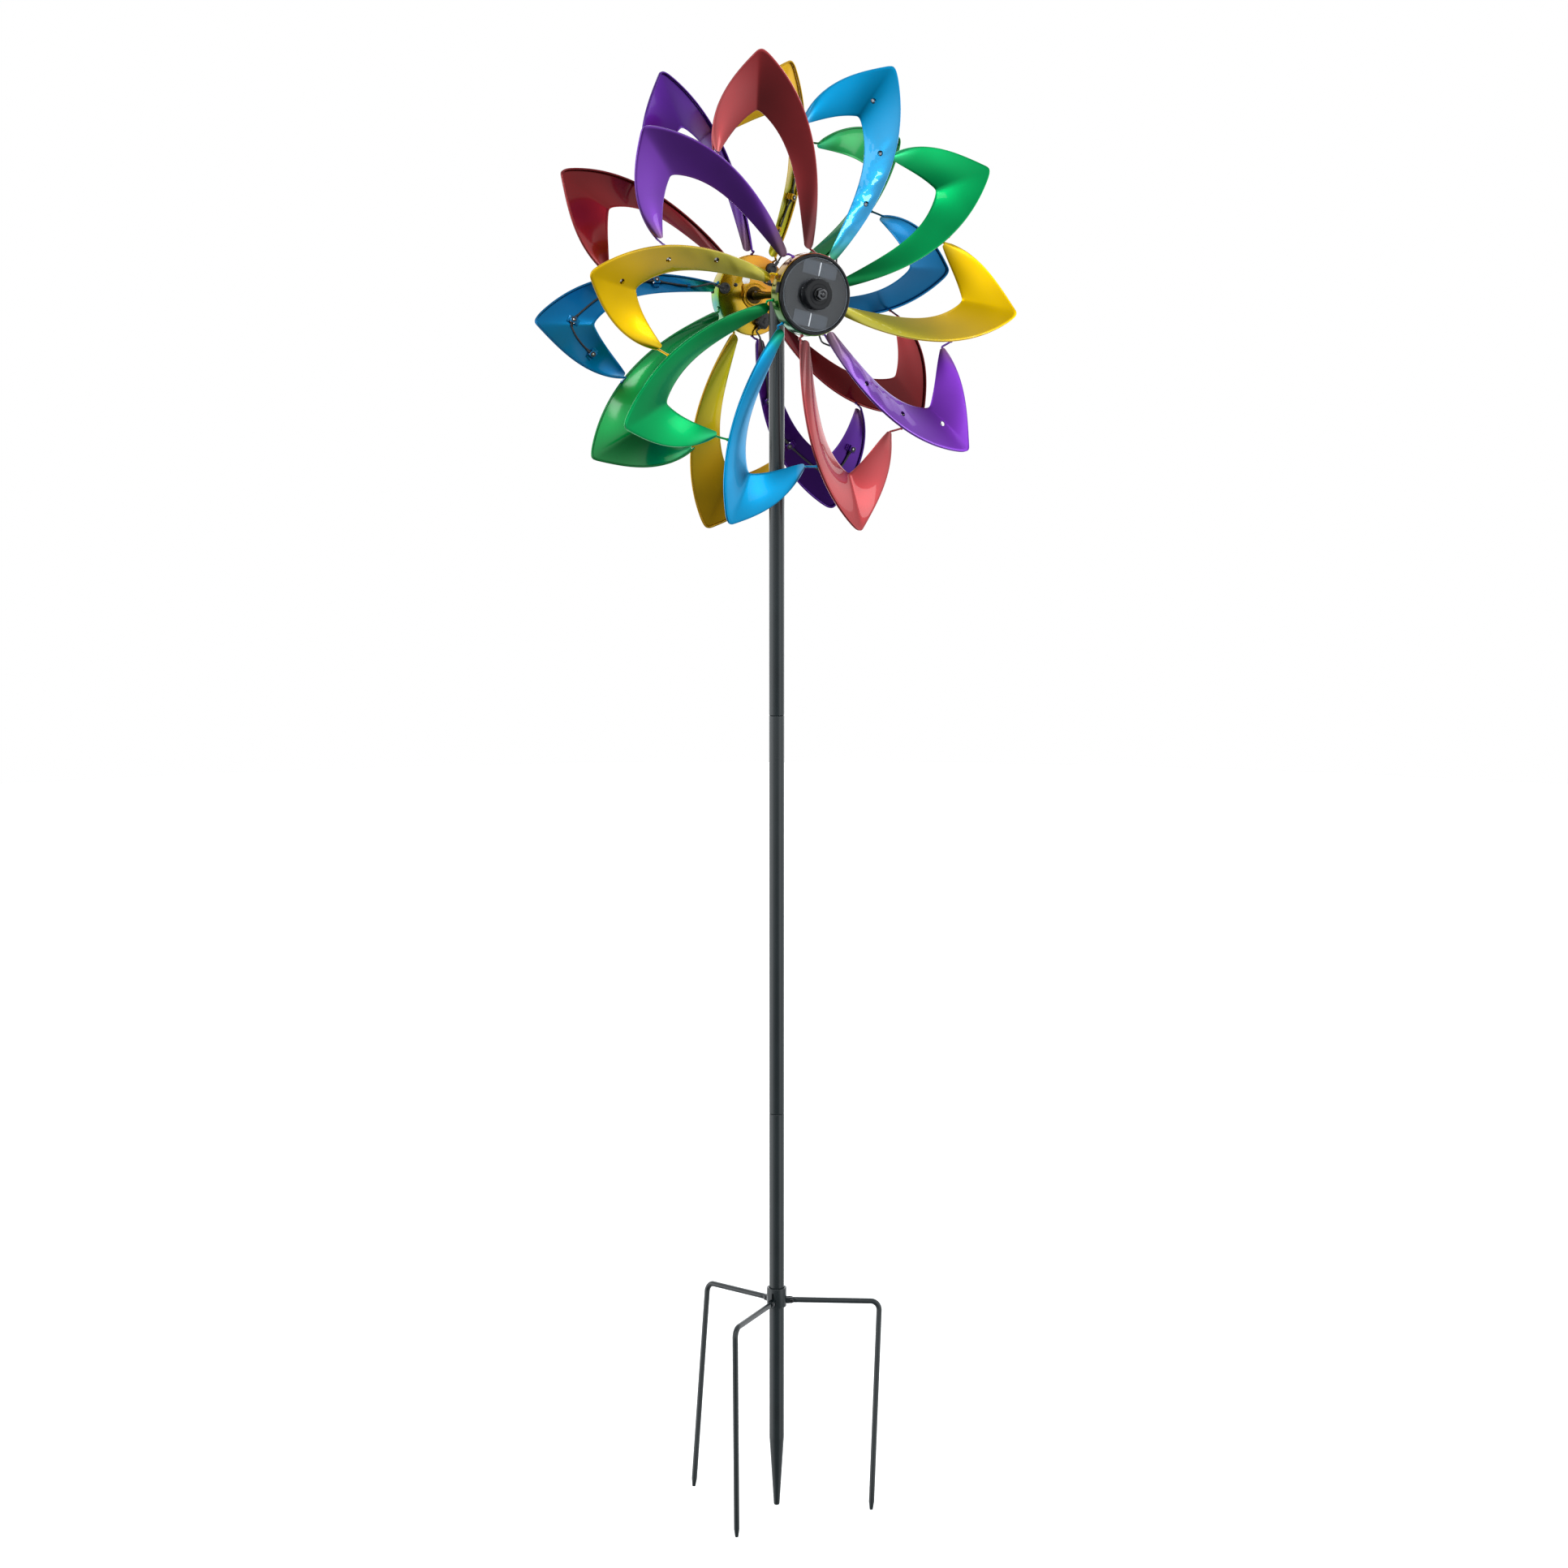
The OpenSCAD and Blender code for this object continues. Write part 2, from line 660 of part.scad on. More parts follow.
// Both edges are rounded a little at the fold by mixing in the points beside it.
function fold_mix(u) = 0.7 * max(0, 1 - abs(u) / (2 * tip_soften));
function edge_out(u) = line(raw_out(u), (raw_out(u - tip_soften) + raw_out(u + tip_soften)) / 2, fold_mix(u));
function edge_in(u) = line(raw_in(u), (raw_in(u - tip_soften) + raw_in(u + tip_soften)) / 2, fold_mix(u));

function unit(v) = v / norm(v);
function clip(u) = min(0.999, max(-0.999, u));
function mid(u) = (edge_out(u) + edge_in(u)) / 2;
function along(u) = unit(mid(clip(u) + 0.001) - mid(clip(u) - 0.001));
function across(u) = unit(edge_out(u) - edge_in(u));
function facing(u) = unit(cross(along(u), across(u)));
function narrowing(u) = let (e = u < 0 ? (-u - 1 + end_round) / end_round : (u - 1 + root_round) / root_round)
  e <= 0 ? 1 : sqrt(max(0.03, 1 - e * e));

// A point on the sheet's middle surface at station u and share f from the inner to the outer edge.
function sheet_point(u, f) = line(edge_in(u), edge_out(u), f)
  + facing(u) * crown * (1 - abs(2 * f - 1));

stations = [-1, -0.98, -1 + end_round, -0.85, -0.7, -0.54, -0.38, -0.24, -0.12, -0.05, 0,
  0.04, 0.1, 0.19, 0.3, 0.42, 0.54, 0.66, 0.78, 0.9, 1 - root_round, 0.985, 1];

// The closed ring of six points round the sheet at one station.
function sheet_ring(u) = let (s = narrowing(u), n = facing(u) * sheet_t / 2,
    i = sheet_point(u, 0.5 - s / 2), m = sheet_point(u, 0.5), o = sheet_point(u, 0.5 + s / 2))
  [i - n, m - n, o - n, o + n, m + n, i + n];

// A solid through a row of rings with equal numbers of points.
module loft(rings) {
  n = len(rings[0]);
  m = len(rings);
  points = [for (ring = rings) for (p = ring) p];
  sides = [for (i = [0:m - 2]) for (j = [0:n - 1]) let (k = (j + 1) % n)
    for (f = [[i * n + j, (i + 1) * n + k, i * n + k], [i * n + j, (i + 1) * n + j, (i + 1) * n + k]]) f];
  start = [for (j = [1:n - 2]) [0, j, j + 1]];
  finish = [for (j = [1:n - 2]) [(m - 1) * n, (m - 1) * n + j + 1, (m - 1) * n + j]];
  polyhedron(points = points, faces = concat(sides, start, finish));
}

// A round rod through a row of points, with the given number of sides.
function run_dir(path, i) = unit(path[min(i + 1, len(path) - 1)] - path[max(i - 1, 0)]);
function rod_ring(p, t, r, sides) = let (a = unit(cross(t, [0.31, -0.9, 0.3])), b = cross(t, a))
  [for (j = [0:sides - 1]) p + r * (cos(360 * j / sides) * a + sin(360 * j / sides) * b)];
module sweep(path, d, sides) {
  loft([for (i = [0:len(path) - 1]) rod_ring(path[i], run_dir(path, i), d / 2, sides)]);
}

// Lamp places on a blade: station, and share from the inner to the outer edge.
lamps = [[0.63, 0.6], [0.32, 0.5], [0.01, 0.37], [-0.48, 0.45]];
front_lamp_blades = [1, 4, 8];
rear_lamp_blades = [0, 4, 7];
front_lamp_count = 3;
rear_lamp_count = 4;

// Turns a child so that its Z points from the sheet's back towards the pole, its X along the blade.
module at_lamp(lamp, lift) {
  n = -facing(lamp[0]);
  t = along(lamp[0]);
  tilt = acos(n[2]);
  swing = atan2(n[1], n[0]);
  ex = [cos(swing) * cos(tilt), sin(swing) * cos(tilt), -sin(tilt)];
  ey = [-sin(swing), cos(swing), 0];
  translate(sheet_point(lamp[0], lamp[1]) + n * (sheet_t / 2 + lift))
    rotate([0, tilt, swing]) rotate([0, 0, atan2(t * ey, t * ex)]) children();
}

// One blade of painted sheet, with holes where its lamps shine through.
module blade(lamp_count) {
  difference() {
    loft([for (u = stations) sheet_ring(u)]);
    if (lamp_count > 0) for (i = [0:lamp_count - 1]) at_lamp(lamps[i], -4)
      cylinder(d = lamp_hole_d, h = 8);
  }
}

module blade_turn(phase, k) {
  rotate([0, phase + blade_pitch * k, 0]) children();
}

module front_blade(k) {
  lit = len([for (b = front_lamp_blades) if (b == k) b]) > 0;
  color(front_colours[k]) front() blade_turn(front_phase, k) blade(lit ? front_lamp_count : 0);
}

module rear_blade(k) {
  lit = len([for (b = rear_lamp_blades) if (b == k) b]) > 0;
  color(rear_colours[k]) rear() blade_turn(rear_phase, k) blade(lit ? rear_lamp_count : 0);
}

// ---- edge rods ----

rod_seat = 0.2;
rod_inset = 0.8;
link_u = 0.37;
rod_stations = [-1, -0.88, -0.74, -0.6, -0.45, -0.3, -0.18, -0.08, 0, 0.06, 0.14, 0.25, 0.37, 0.5,
  0.63, 0.76, 0.88, 1];
rod_lift = sheet_t / 2 + rod_d / 2 + rod_seat;

function rod_point(u) = edge_out(u) - across(u) * rod_inset - facing(u) * rod_lift;
function turned(p, a) = [p[0] * cos(a) + p[2] * sin(a), p[1], p[2] * cos(a) - p[0] * sin(a)];

// The rod runs from the drum's wall along the outer edge and round the tip, and from the short
// limb's end it is carried on to the rod of the next blade.
rod_target = turned(rod_point(link_u), -blade_pitch);
rod_end = rod_point(-1);
rod_leave = rod_end + unit(rod_end - rod_point(-0.95)) * 4;
rod_meet = rod_target + unit(rod_leave - rod_target) * (rod_d + rod_seat);
drum_r = drum_d / 2;
rod_root = [polar(drum_r + 4.2, root_out_a + 1.2, root_out_w - 1.2),
  polar(drum_r + 2.4, root_out_a + 1.8, plate_w + 1), polar(drum_r + rod_seat, root_out_a + 2, plate_w + 4)];
rod_path = concat([rod_meet, rod_leave], [for (u = rod_stations) rod_point(u)], rod_root);

module edge_rods(phase, colours) {
  for (k = [0:9]) color(colours[k]) blade_turn(phase, k) sweep(rod_path, rod_d, 6);
}

// ---- lamps, brackets and cables ----

bracket_w = 8;
bracket_t = 1;
bracket_l = 9;
bracket_seat = 0.55;
lamp_flange_d = lamp_d + 0.8;
lamp_len = bracket_h - 0.6;
boot_h = 5;

module lamp_bracket() {
  difference() {
    translate([-bracket_w / 2, -bracket_l / 2, 0]) cube([bracket_w, bracket_l, bracket_h]);
    translate([-bracket_w / 2 - 1, -bracket_l / 2 + bracket_t, -1])
      cube([bracket_w + 2, bracket_l - 2 * bracket_t, bracket_h - bracket_t + 1]);
    cylinder(d = lamp_d + 2 * slide_gap, h = bracket_h + 1);
  }
}

// A lamp with its dome towards the blade's hole, its flange on the bracket and its boot behind.
module lamp() {
  translate([0, 0, bracket_h - lamp_len + lamp_d / 2]) {
    sphere(d = lamp_d, $fn = 24);
    cylinder(d = lamp_d, h = lamp_len - lamp_d / 2, $fn = 24);
  }
  translate([0, 0, bracket_h]) cylinder(d = lamp_flange_d, h = boot_h, $fn = 24);
}

module on_lamps(phase, blades, count) {
  for (k = blades) blade_turn(phase, k) for (i = [0:count - 1]) at_lamp(lamps[i], bracket_seat) children();
}

// A cable leaves its gland, passes behind the edge rod and lies on the blade's back, where it runs
// beside its lamps' brackets to the last one.
cable_seat = 0.35;
cable_lift = sheet_t / 2 + cable_d / 2 + cable_seat;
cable_beside = norm([bracket_l, bracket_w]) / 2 + cable_d / 2 + side_gap;
cross_w = plate_w - 9.5;
function square_width(u) = norm(cross(along(u), edge_out(u) - edge_in(u)));
function beside(lamp) = lamp[1] - cable_beside / square_width(lamp[0]);
cable_shares = [[-0.6, beside(lamps[3])], [lamps[3][0], beside(lamps[3])], [lamps[2][0], beside(lamps[2])],
  [lamps[1][0], beside(lamps[1])], [lamps[0][0], beside(lamps[0])], [0.86, 0.35]];
function cable_point(u) = sheet_point(u, lookup(u, cable_shares)) - facing(u) * cable_lift;
cable_stations = [0.8, 0.74, 0.68, 0.63, 0.57, 0.51, 0.45, 0.39, 0.32, 0.25, 0.18, 0.11, 0.05, 0.01, -0.04,
  -0.1, -0.17, -0.24, -0.31, -0.38, -0.44, -0.49, -0.53];

// The cable of one lit blade. exit holds the clock angle, radius and w of its start and the clock
// angle of its aim, and last is the station where it ends.
module lamp_cable(phase, k, exit, last) {
  turn = phase + blade_pitch * k;
  start = polar(exit[1], exit[0] - turn, exit[2]);
  aim = polar(1, exit[3] - turn, 0);
  over = polar(exit[1] + 13, (exit[0] - turn + 15) / 2, cross_w);
  join = cable_point(0.86) + [0, 1.6, 0];
  run = [for (u = cable_stations) if (u >= last) cable_point(u)];
  blade_turn(phase, k) sweep(concat([start, start + aim * 4, over, join], run), cable_d, 8);
}

stem_tip_r = gland_r + stem_len;

module front_hub_drum() { front() hub_drum(); }
module front_bearing_tube() { front() bearing_tube(); }
module front_bearings() { front() bearings(); }
module front_solar_housing() { front() solar_housing(); }
module front_solar_cells() { front() solar_cells(); }
module front_solar_cover() { front() solar_cover(); }
module front_circuit_board() { front() circuit_board(); }
module front_battery() { front() battery(); }
module front_hub_screws() { front() hub_screws(); }
module front_edge_rods() { front() edge_rods(front_phase, front_colours); }
module front_cable_outlets() { front() cable_outlets(front_gland_as, front_box); }
module front_lamp_brackets() {
  color("gray") front() on_lamps(front_phase, front_lamp_blades, front_lamp_count) lamp_bracket();
}
module front_lamps() {
  color("white") front() on_lamps(front_phase, front_lamp_blades, front_lamp_count) lamp();
}
module front_lamp_cables() {
  color(black) front() for (i = [0:2])
    lamp_cable(front_phase, front_lamp_blades[i],
      [front_gland_as[i], stem_tip_r + side_gap, stem_w, front_gland_as[i]], -0.04);
}

module rear_hub_drum() { rear() hub_drum(); }
module rear_bearing_tube() { rear() bearing_tube(); }
module rear_bearings() { rear() bearings(); }
module rear_solar_housing() { rear() solar_housing(); }
module rear_solar_cells() { rear() solar_cells(); }
module rear_solar_cover() { rear() solar_cover(); }
module rear_circuit_board() { rear() circuit_board(); }
module rear_battery() { rear() battery(); }
module rear_hub_screws() { rear() hub_screws(); }
module rear_edge_rods() { rear() edge_rods(rear_phase, rear_colours); }
module rear_cable_outlets() { rear() cable_outlets(rear_gland_as, rear_box); }
module rear_lamp_brackets() {
  color("gray") rear() on_lamps(rear_phase, rear_lamp_blades, rear_lamp_count) lamp_bracket();
}
module rear_lamps() {
  color("white") rear() on_lamps(rear_phase, rear_lamp_blades, rear_lamp_count) lamp();
}
module rear_lamp_cables() {
  color(black) rear() {
    for (i = [0, 1]) lamp_cable(rear_phase, rear_lamp_blades[2 * i],
      [rear_gland_as[i], stem_tip_r + side_gap, stem_w, rear_gland_as[i]], -0.53);
    lamp_cable(rear_phase, rear_lamp_blades[1], box_exit(rear_box), -0.53);
  }
}

pole_top();
pole_middle();
pole_spike();
pole_head();
axle();
axle_washers();
axle_nuts();
collar();
collar_pins();
prong_left();
prong_front();
prong_right();
front_blade(0);  // front_blade_01
front_blade(1);  // front_blade_02
front_blade(2);  // front_blade_03
front_blade(3);  // front_blade_04
front_blade(4);  // front_blade_05
front_blade(5);  // front_blade_06
front_blade(6);  // front_blade_07
front_blade(7);  // front_blade_08
front_blade(8);  // front_blade_09
front_blade(9);  // front_blade_10
front_edge_rods();
front_hub_drum();
front_bearing_tube();
front_bearings();
front_solar_housing();
front_solar_cells();
front_solar_cover();
front_circuit_board();
front_battery();
front_hub_screws();
front_cable_outlets();
front_lamp_brackets();
front_lamps();
front_lamp_cables();
rear_blade(0);  // rear_blade_01
rear_blade(1);  // rear_blade_02
rear_blade(2);  // rear_blade_03
rear_blade(3);  // rear_blade_04
rear_blade(4);  // rear_blade_05
rear_blade(5);  // rear_blade_06
rear_blade(6);  // rear_blade_07
rear_blade(7);  // rear_blade_08
rear_blade(8);  // rear_blade_09
rear_blade(9);  // rear_blade_10
rear_edge_rods();
rear_hub_drum();
rear_bearing_tube();
rear_bearings();
rear_solar_housing();
rear_solar_cells();
rear_solar_cover();
rear_circuit_board();
rear_battery();
rear_hub_screws();
rear_cable_outlets();
rear_lamp_brackets();
rear_lamps();
rear_lamp_cables();
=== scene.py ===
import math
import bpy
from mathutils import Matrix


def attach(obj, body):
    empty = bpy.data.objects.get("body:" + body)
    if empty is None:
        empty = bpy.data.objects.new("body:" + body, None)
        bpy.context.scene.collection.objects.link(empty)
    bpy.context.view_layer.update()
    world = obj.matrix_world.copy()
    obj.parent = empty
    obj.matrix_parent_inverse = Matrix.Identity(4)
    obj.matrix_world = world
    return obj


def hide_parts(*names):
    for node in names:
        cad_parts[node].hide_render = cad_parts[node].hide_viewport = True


bl_info = {
    "name": "Garden windmill",
    "version": (1, 0, 0),
    "blender": (4, 5, 0),
    "location": "View3D > Sidebar > Windmill",
    "description": "Builds the lacquered rotors, solar hubs, lamps and stand of a garden windmill",
    "category": "Object",
}

from types import SimpleNamespace

import bmesh
import bpy
import numpy as np
from bpy.props import FloatProperty, FloatVectorProperty, PointerProperty
from mathutils import Matrix

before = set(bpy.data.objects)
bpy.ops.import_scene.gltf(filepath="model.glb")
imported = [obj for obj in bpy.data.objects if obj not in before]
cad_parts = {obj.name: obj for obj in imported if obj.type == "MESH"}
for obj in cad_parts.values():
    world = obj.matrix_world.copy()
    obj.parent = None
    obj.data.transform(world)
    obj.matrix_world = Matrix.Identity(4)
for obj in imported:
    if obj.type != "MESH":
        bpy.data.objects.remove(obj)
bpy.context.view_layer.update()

# Shapes are worked out in millimetres. A rotor's own frame has its hub's middle at the origin, x to the
# right, z up and -y outwards, as the front rotor is seen. w is the distance outwards, so y = -w.
MM = 0.001
# Radius at which a revolved profile closes, and the least angle of an edge that stays sharp.
AXIS = 0.05
SHARP = 38


def linear(code):
    """An sRGB hex colour as linear red, green and blue."""
    c = np.array([int(code[i : i + 2], 16) for i in (0, 2, 4)]) / 255
    return tuple(float(x) for x in np.where(c <= 0.04045, c / 12.92, ((c + 0.055) / 1.055) ** 2.4))


def length(name, default, description):
    """A size in metres that a user can change, given in millimetres."""
    return FloatProperty(name=name, description=description, default=default * MM, min=0.0, unit="LENGTH")


def colour(name, code, description):
    return FloatVectorProperty(
        name=name, description=description, default=linear(code), size=3, min=0.0, max=1.0, subtype="COLOR"
    )


def power_setting(name, default, description):
    return FloatProperty(name=name, description=description, default=default, unit="POWER")


class StandSizes(bpy.types.PropertyGroup):
    axle_height: length("Axle height", 1343, "Height of the axle above the ground line")
    pole_diameter: length("Pole diameter", 20, "Outer diameter of the pole")
    lower_seam: length("Lower seam", 268, "Height of the seam above the spike section")
    upper_seam: length("Upper seam", 802, "Height of the seam below the top section")
    shoulder_depth: length("Shoulder depth", 184, "Depth of the spike's shoulder below the ground line")
    spike_length: length("Spike length", 94, "Length of the taper below the shoulder")
    prong_diameter: length("Prong diameter", 7.5, "Diameter of the prong rods")
    prong_reach: length("Prong reach", 140, "Distance of the prong legs from the pole's axis")
    prong_length: length("Prong length", 281, "Length of the prong legs")
    collar_height: length("Collar height", 26, "Height of the loose collar")
    arm_height: length("Arm height", 9.75, "Height of the prongs' hinges above the ground line")


class BladeSizes(bpy.types.PropertyGroup):
    tip_radius: length("Tip radius", 308.4, "Radius of the blade tips")
    notch_radius: length("Notch radius", 236, "Radius of the notch at the fold")
    root_radius: length("Root radius", 57, "Radius of the long limb's root")
    sheet: length("Sheet", 1, "Thickness of the sheet")
    crown: length("Crown", 1.2, "Height of the crown across each limb")
    rod_diameter: length("Rod diameter", 2.8, "Diameter of the rod along the outer edge")
    weld_spacing: length("Weld spacing", 75, "Distance between the tack welds along the rod")


class HubSizes(bpy.types.PropertyGroup):
    front_distance: length("Front hub", 88, "Distance of the front hub's middle from the pole's axis")
    rear_distance: length("Rear hub", 72, "Distance of the rear hub's middle from the pole's axis")
    drum_diameter: length("Drum diameter", 103, "Outer diameter of the hub drum")
    drum_depth: length("Drum depth", 18, "Depth of the hub drum")
    boss_diameter: length("Boss diameter", 38.5, "Diameter of the solar unit's middle boss")
    cell_width: length("Cell width", 23, "Width of a solar cell")
    cell_height: length("Cell height", 18, "Height of a solar cell")


class LampSizes(bpy.types.PropertyGroup):
    hole_diameter: length("Hole diameter", 7, "Diameter of the holes that the lamps shine through")
    lamp_diameter: length("Lamp diameter", 5, "Diameter of the lamps")
    bracket_height: length("Bracket height", 6, "Height of the lamp brackets behind the blade")
    cable_diameter: length("Cable diameter", 2.4, "Diameter of the lamp cables")
    gland_diameter: length("Gland diameter", 15, "Diameter of the round cable glands")


class Finishes(bpy.types.PropertyGroup):
    red: colour("Red", "9b2c30", "Clear red lacquer over bright sheet")
    blue: colour("Blue", "0082b4", "Clear blue lacquer over bright sheet")
    green: colour("Green", "009650", "Clear green lacquer over bright sheet")
    yellow: colour("Yellow", "d0a800", "Clear yellow lacquer over bright sheet")
    purple: colour("Purple", "682c9d", "Clear purple lacquer over bright sheet")
    coat: colour("Pole coat", "1a2528", "Powder coat of the pole and prongs")
    plastic: colour("Black plastic", "0c0e11", "Moulded plastic of the solar units")


class StageSettings(bpy.types.PropertyGroup):
    focal_length: FloatProperty(
        name="Focal length", description="Focal length on a 36 mm wide sensor", default=70.45, unit="CAMERA"
    )
    key_power: power_setting("Key light", 20, "Power of the left softbox")
    side_power: power_setting("Side light", 11, "Power of the right softbox")
    window_power: power_setting("Windows", 14, "Power of the windows, before each one's own share")
    top_power: power_setting("Top light", 14, "Power of the overhead softbox")


def fields(group):
    """The names of a group's settings."""
    return [key for key in group.bl_rna.properties.keys() if key not in ("rna_type", "name")]


def in_mm(name):
    """A group's sizes in millimetres."""
    group = getattr(bpy.context.scene, "windmill_" + name)
    return SimpleNamespace(**{key: getattr(group, key) / MM for key in fields(group)})


# ---- meshes ----


def circle(n):
    """n angles all round, in radians."""
    return np.linspace(0, 2 * np.pi, n, endpoint=False)


def pack(*columns):
    """Points from their coordinates, each an array or a number."""
    return np.stack(np.broadcast_arrays(*columns), -1)


def unit(v):
    return v / np.linalg.norm(v, axis=-1, keepdims=True)


def blend(a, b, t):
    """Straight mix of a and b by t."""
    return a + (b - a) * t


def patch(points, faces, uv=None, material=0):
    """A closed shell: points in millimetres, faces as arrays of indices, and places on the UV map."""
    points = np.asarray(points, float).reshape(-1, 3)
    uv = np.full((len(points), 2), 0.5) if uv is None else np.asarray(uv, float).reshape(-1, 2)
    return {"points": points, "faces": faces, "uv": uv, "material": material}


def grid(P, uv=None, ring=False, material=0):
    """Joins the points P[i, j] by quads. The columns always close on themselves. The rows close on
    themselves too if ring is set, and otherwise the first and last row are capped."""
    n, m = P.shape[:2]
    i = np.arange(n if ring else n - 1)[:, None]
    j = np.arange(m)[None, :]
    a, b = (i % n) * m, ((i + 1) % n) * m
    k = (j + 1) % m
    faces = [np.stack([a + j, a + k, b + k, b + j], -1).reshape(-1, 4)]
    if not ring:
        faces += [np.arange(m)[None, ::-1], (n - 1) * m + np.arange(m)[None, :]]
    return patch(P, faces, uv, material)


def rounded(profile, radius, steps=4, ring=False):
    """Rounds the corners of a polyline: near each corner c, between a and b at radius from it, the points
    are (1-t)^2 a + 2t(1-t) c + t^2 b. The ends of an open line stay."""
    p = np.asarray(profile, float)
    before, after = np.roll(p, 1, 0), np.roll(p, -1, 0)
    lead, trail = before - p, after - p
    near = lambda d: d * np.minimum(0.45, radius / np.maximum(np.linalg.norm(d, axis=1, keepdims=True), 1e-9))
    t = np.linspace(0, 1, steps)[None, :, None]
    a, c, b = (p + near(lead))[:, None], p[:, None], (p + near(trail))[:, None]
    q = (1 - t) ** 2 * a + 2 * t * (1 - t) * c + t**2 * b
    if ring:
        return q.reshape(-1, p.shape[1])
    return np.concatenate([p[:1], q[1:-1].reshape(-1, p.shape[1]), p[-1:]])


def revolve(profile, sides=96, ring=False, material=0):
    """Carries a profile of (radius, height) round the z axis: P = (r cos t, r sin t, h)."""
    p = np.asarray(profile, float)
    t = circle(sides)
    r, h = p[:, :1], p[:, 1:]
    P = pack(r * np.cos(t), r * np.sin(t), h)
    return grid(P, ring=ring, material=material)


def hoop(corners, radius, steps=4, sides=96, material=0):
    """A closed profile of (radius, height) with its corners rounded, carried round the z axis."""
    return revolve(rounded(corners, radius, steps, ring=True), sides, ring=True, material=material)


def tube(path, radius, sides=14, side=(0.31, -0.9, 0.3), material=0):
    """Carries a circle along a path: P = path + r (a cos t + b sin t), where a and b are square to the
    path, and a is square to side."""
    path = np.asarray(path, float)
    along = unit(np.gradient(path, axis=0))
    a = unit(np.cross(along, np.asarray(side, float)))
    b = np.cross(along, a)
    t = circle(sides)[None, :, None]
    r = np.broadcast_to(np.asarray(radius, float), (len(path),))[:, None, None]
    return grid(path[:, None] + r * (a[:, None] * np.cos(t) + b[:, None] * np.sin(t)), material=material)


def power(x, e):
    """x raised to e with its sign kept."""
    return np.sign(x) * np.abs(x) ** e


def blob(middle, half, axes=None, sides=10, square=1.0, material=0):
    """A rounded lump: P = middle + half (cos v cos t, cos v sin t, sin v), each cosine and sine raised to
    square, so that 1 gives an ellipsoid and less gives a box with soft edges."""
    v = np.linspace(-np.pi / 2 + 0.02, np.pi / 2 - 0.02, max(6, sides // 2 + 1))[:, None]
    t = circle(sides)[None, :]
    c, s = (power(f(t), square) for f in (np.cos, np.sin))
    ring, height = power(np.cos(v), square), power(np.sin(v), square)
    q = pack(ring * c, ring * s, height)
    q = q * np.asarray(half, float)
    if axes is not None:
        q = q @ np.asarray(axes, float)
    return grid(q + np.asarray(middle, float), material=material)


def spline(points, steps=6):
    """A smooth line through points: between b and c, with neighbours a and d, it is the cubic with the
    slopes (c - a) / 2 and (d - b) / 2."""
    p = np.asarray(points, float)
    q = np.concatenate([2 * p[:1] - p[1:2], p, 2 * p[-1:] - p[-2:-1]])
    a, b, c, d = (x[:, None] for x in (q[:-3], q[1:-2], q[2:-1], q[3:]))
    t = np.linspace(0, 1, steps, endpoint=False)[None, :, None]
    s = b + 0.5 * t * (c - a + t * (2 * a - 5 * b + 4 * c - d + t * (3 * (b - c) + d - a)))
    return np.concatenate([s.reshape(-1, 3), p[-1:]])


def moved(part, change):
    """The same shell with its points put through a function."""
    return {**part, "points": change(part["points"])}


def piece(name, parts, finishes, body, nodes=(), sharp=SHARP):
    """Joins closed shells into one mesh in metres with its faces outwards, that rides on a body and stands
    for CAD nodes. The object sits at the origin."""
    offsets = np.cumsum([0] + [len(p["points"]) for p in parts[:-1]])
    points = np.concatenate([p["points"] for p in parts]) * MM
    uv = np.concatenate([p["uv"] for p in parts])
    faces = [(f + o, p["material"]) for p, o in zip(parts, offsets) for f in p["faces"]]
    corners = np.concatenate([f.ravel() for f, _ in faces])
    counts = np.concatenate([np.full(len(f), f.shape[1]) for f, _ in faces])
    mesh = bpy.data.meshes.new(name)
    mesh.vertices.add(len(points))
    mesh.vertices.foreach_set("co", points.ravel())
    mesh.loops.add(len(corners))
    mesh.loops.foreach_set("vertex_index", corners.astype(np.int32))
    mesh.polygons.add(len(counts))
    mesh.polygons.foreach_set("loop_start", (np.cumsum(counts) - counts).astype(np.int32))
    mesh.polygons.foreach_set(
        "material_index", np.concatenate([np.full(len(f), m) for f, m in faces]).astype(np.int32)
    )
    mesh.polygons.foreach_set("use_smooth", np.ones(len(counts), bool))
    layer = mesh.uv_layers.new(name="UVMap")
    layer.data.foreach_set("uv", uv[corners].ravel())
    mesh.update(calc_edges=True)
    mesh.validate()
    outwards(mesh)
    mesh.set_sharp_from_angle(angle=math.radians(sharp))
    for finish in finishes:
        mesh.materials.append(MATERIALS[finish])
    obj = bpy.data.objects.new(name, mesh)
    bpy.context.scene.collection.objects.link(obj)
    if body:
        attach(obj, body)
        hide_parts(*nodes)
    return obj


def outwards(mesh):
    """Turns the faces of closed shells outwards."""
    bm = bmesh.new()
    bm.from_mesh(mesh)
    bmesh.ops.recalc_face_normals(bm, faces=bm.faces)
    bm.to_mesh(mesh)
    bm.free()


def carve(obj, cutters, sharp=SHARP):
    """Takes closed shells out of a piece and keeps the result as its mesh."""
    tool = piece(obj.name + "_cutter", cutters, [], None)
    step = obj.modifiers.new("carve", "BOOLEAN")
    step.operation, step.object, step.solver = "DIFFERENCE", tool, "EXACT"
    done = bpy.data.meshes.new_from_object(obj.evaluated_get(bpy.context.evaluated_depsgraph_get()))
    obj.modifiers.clear()
    if len(done.vertices) < 4:
        raise RuntimeError(f"carving {obj.name} left nothing")
    obj.data = done
    done.set_sharp_from_angle(angle=math.radians(sharp))
    bpy.data.objects.remove(tool)
    return obj


# ---- places ----


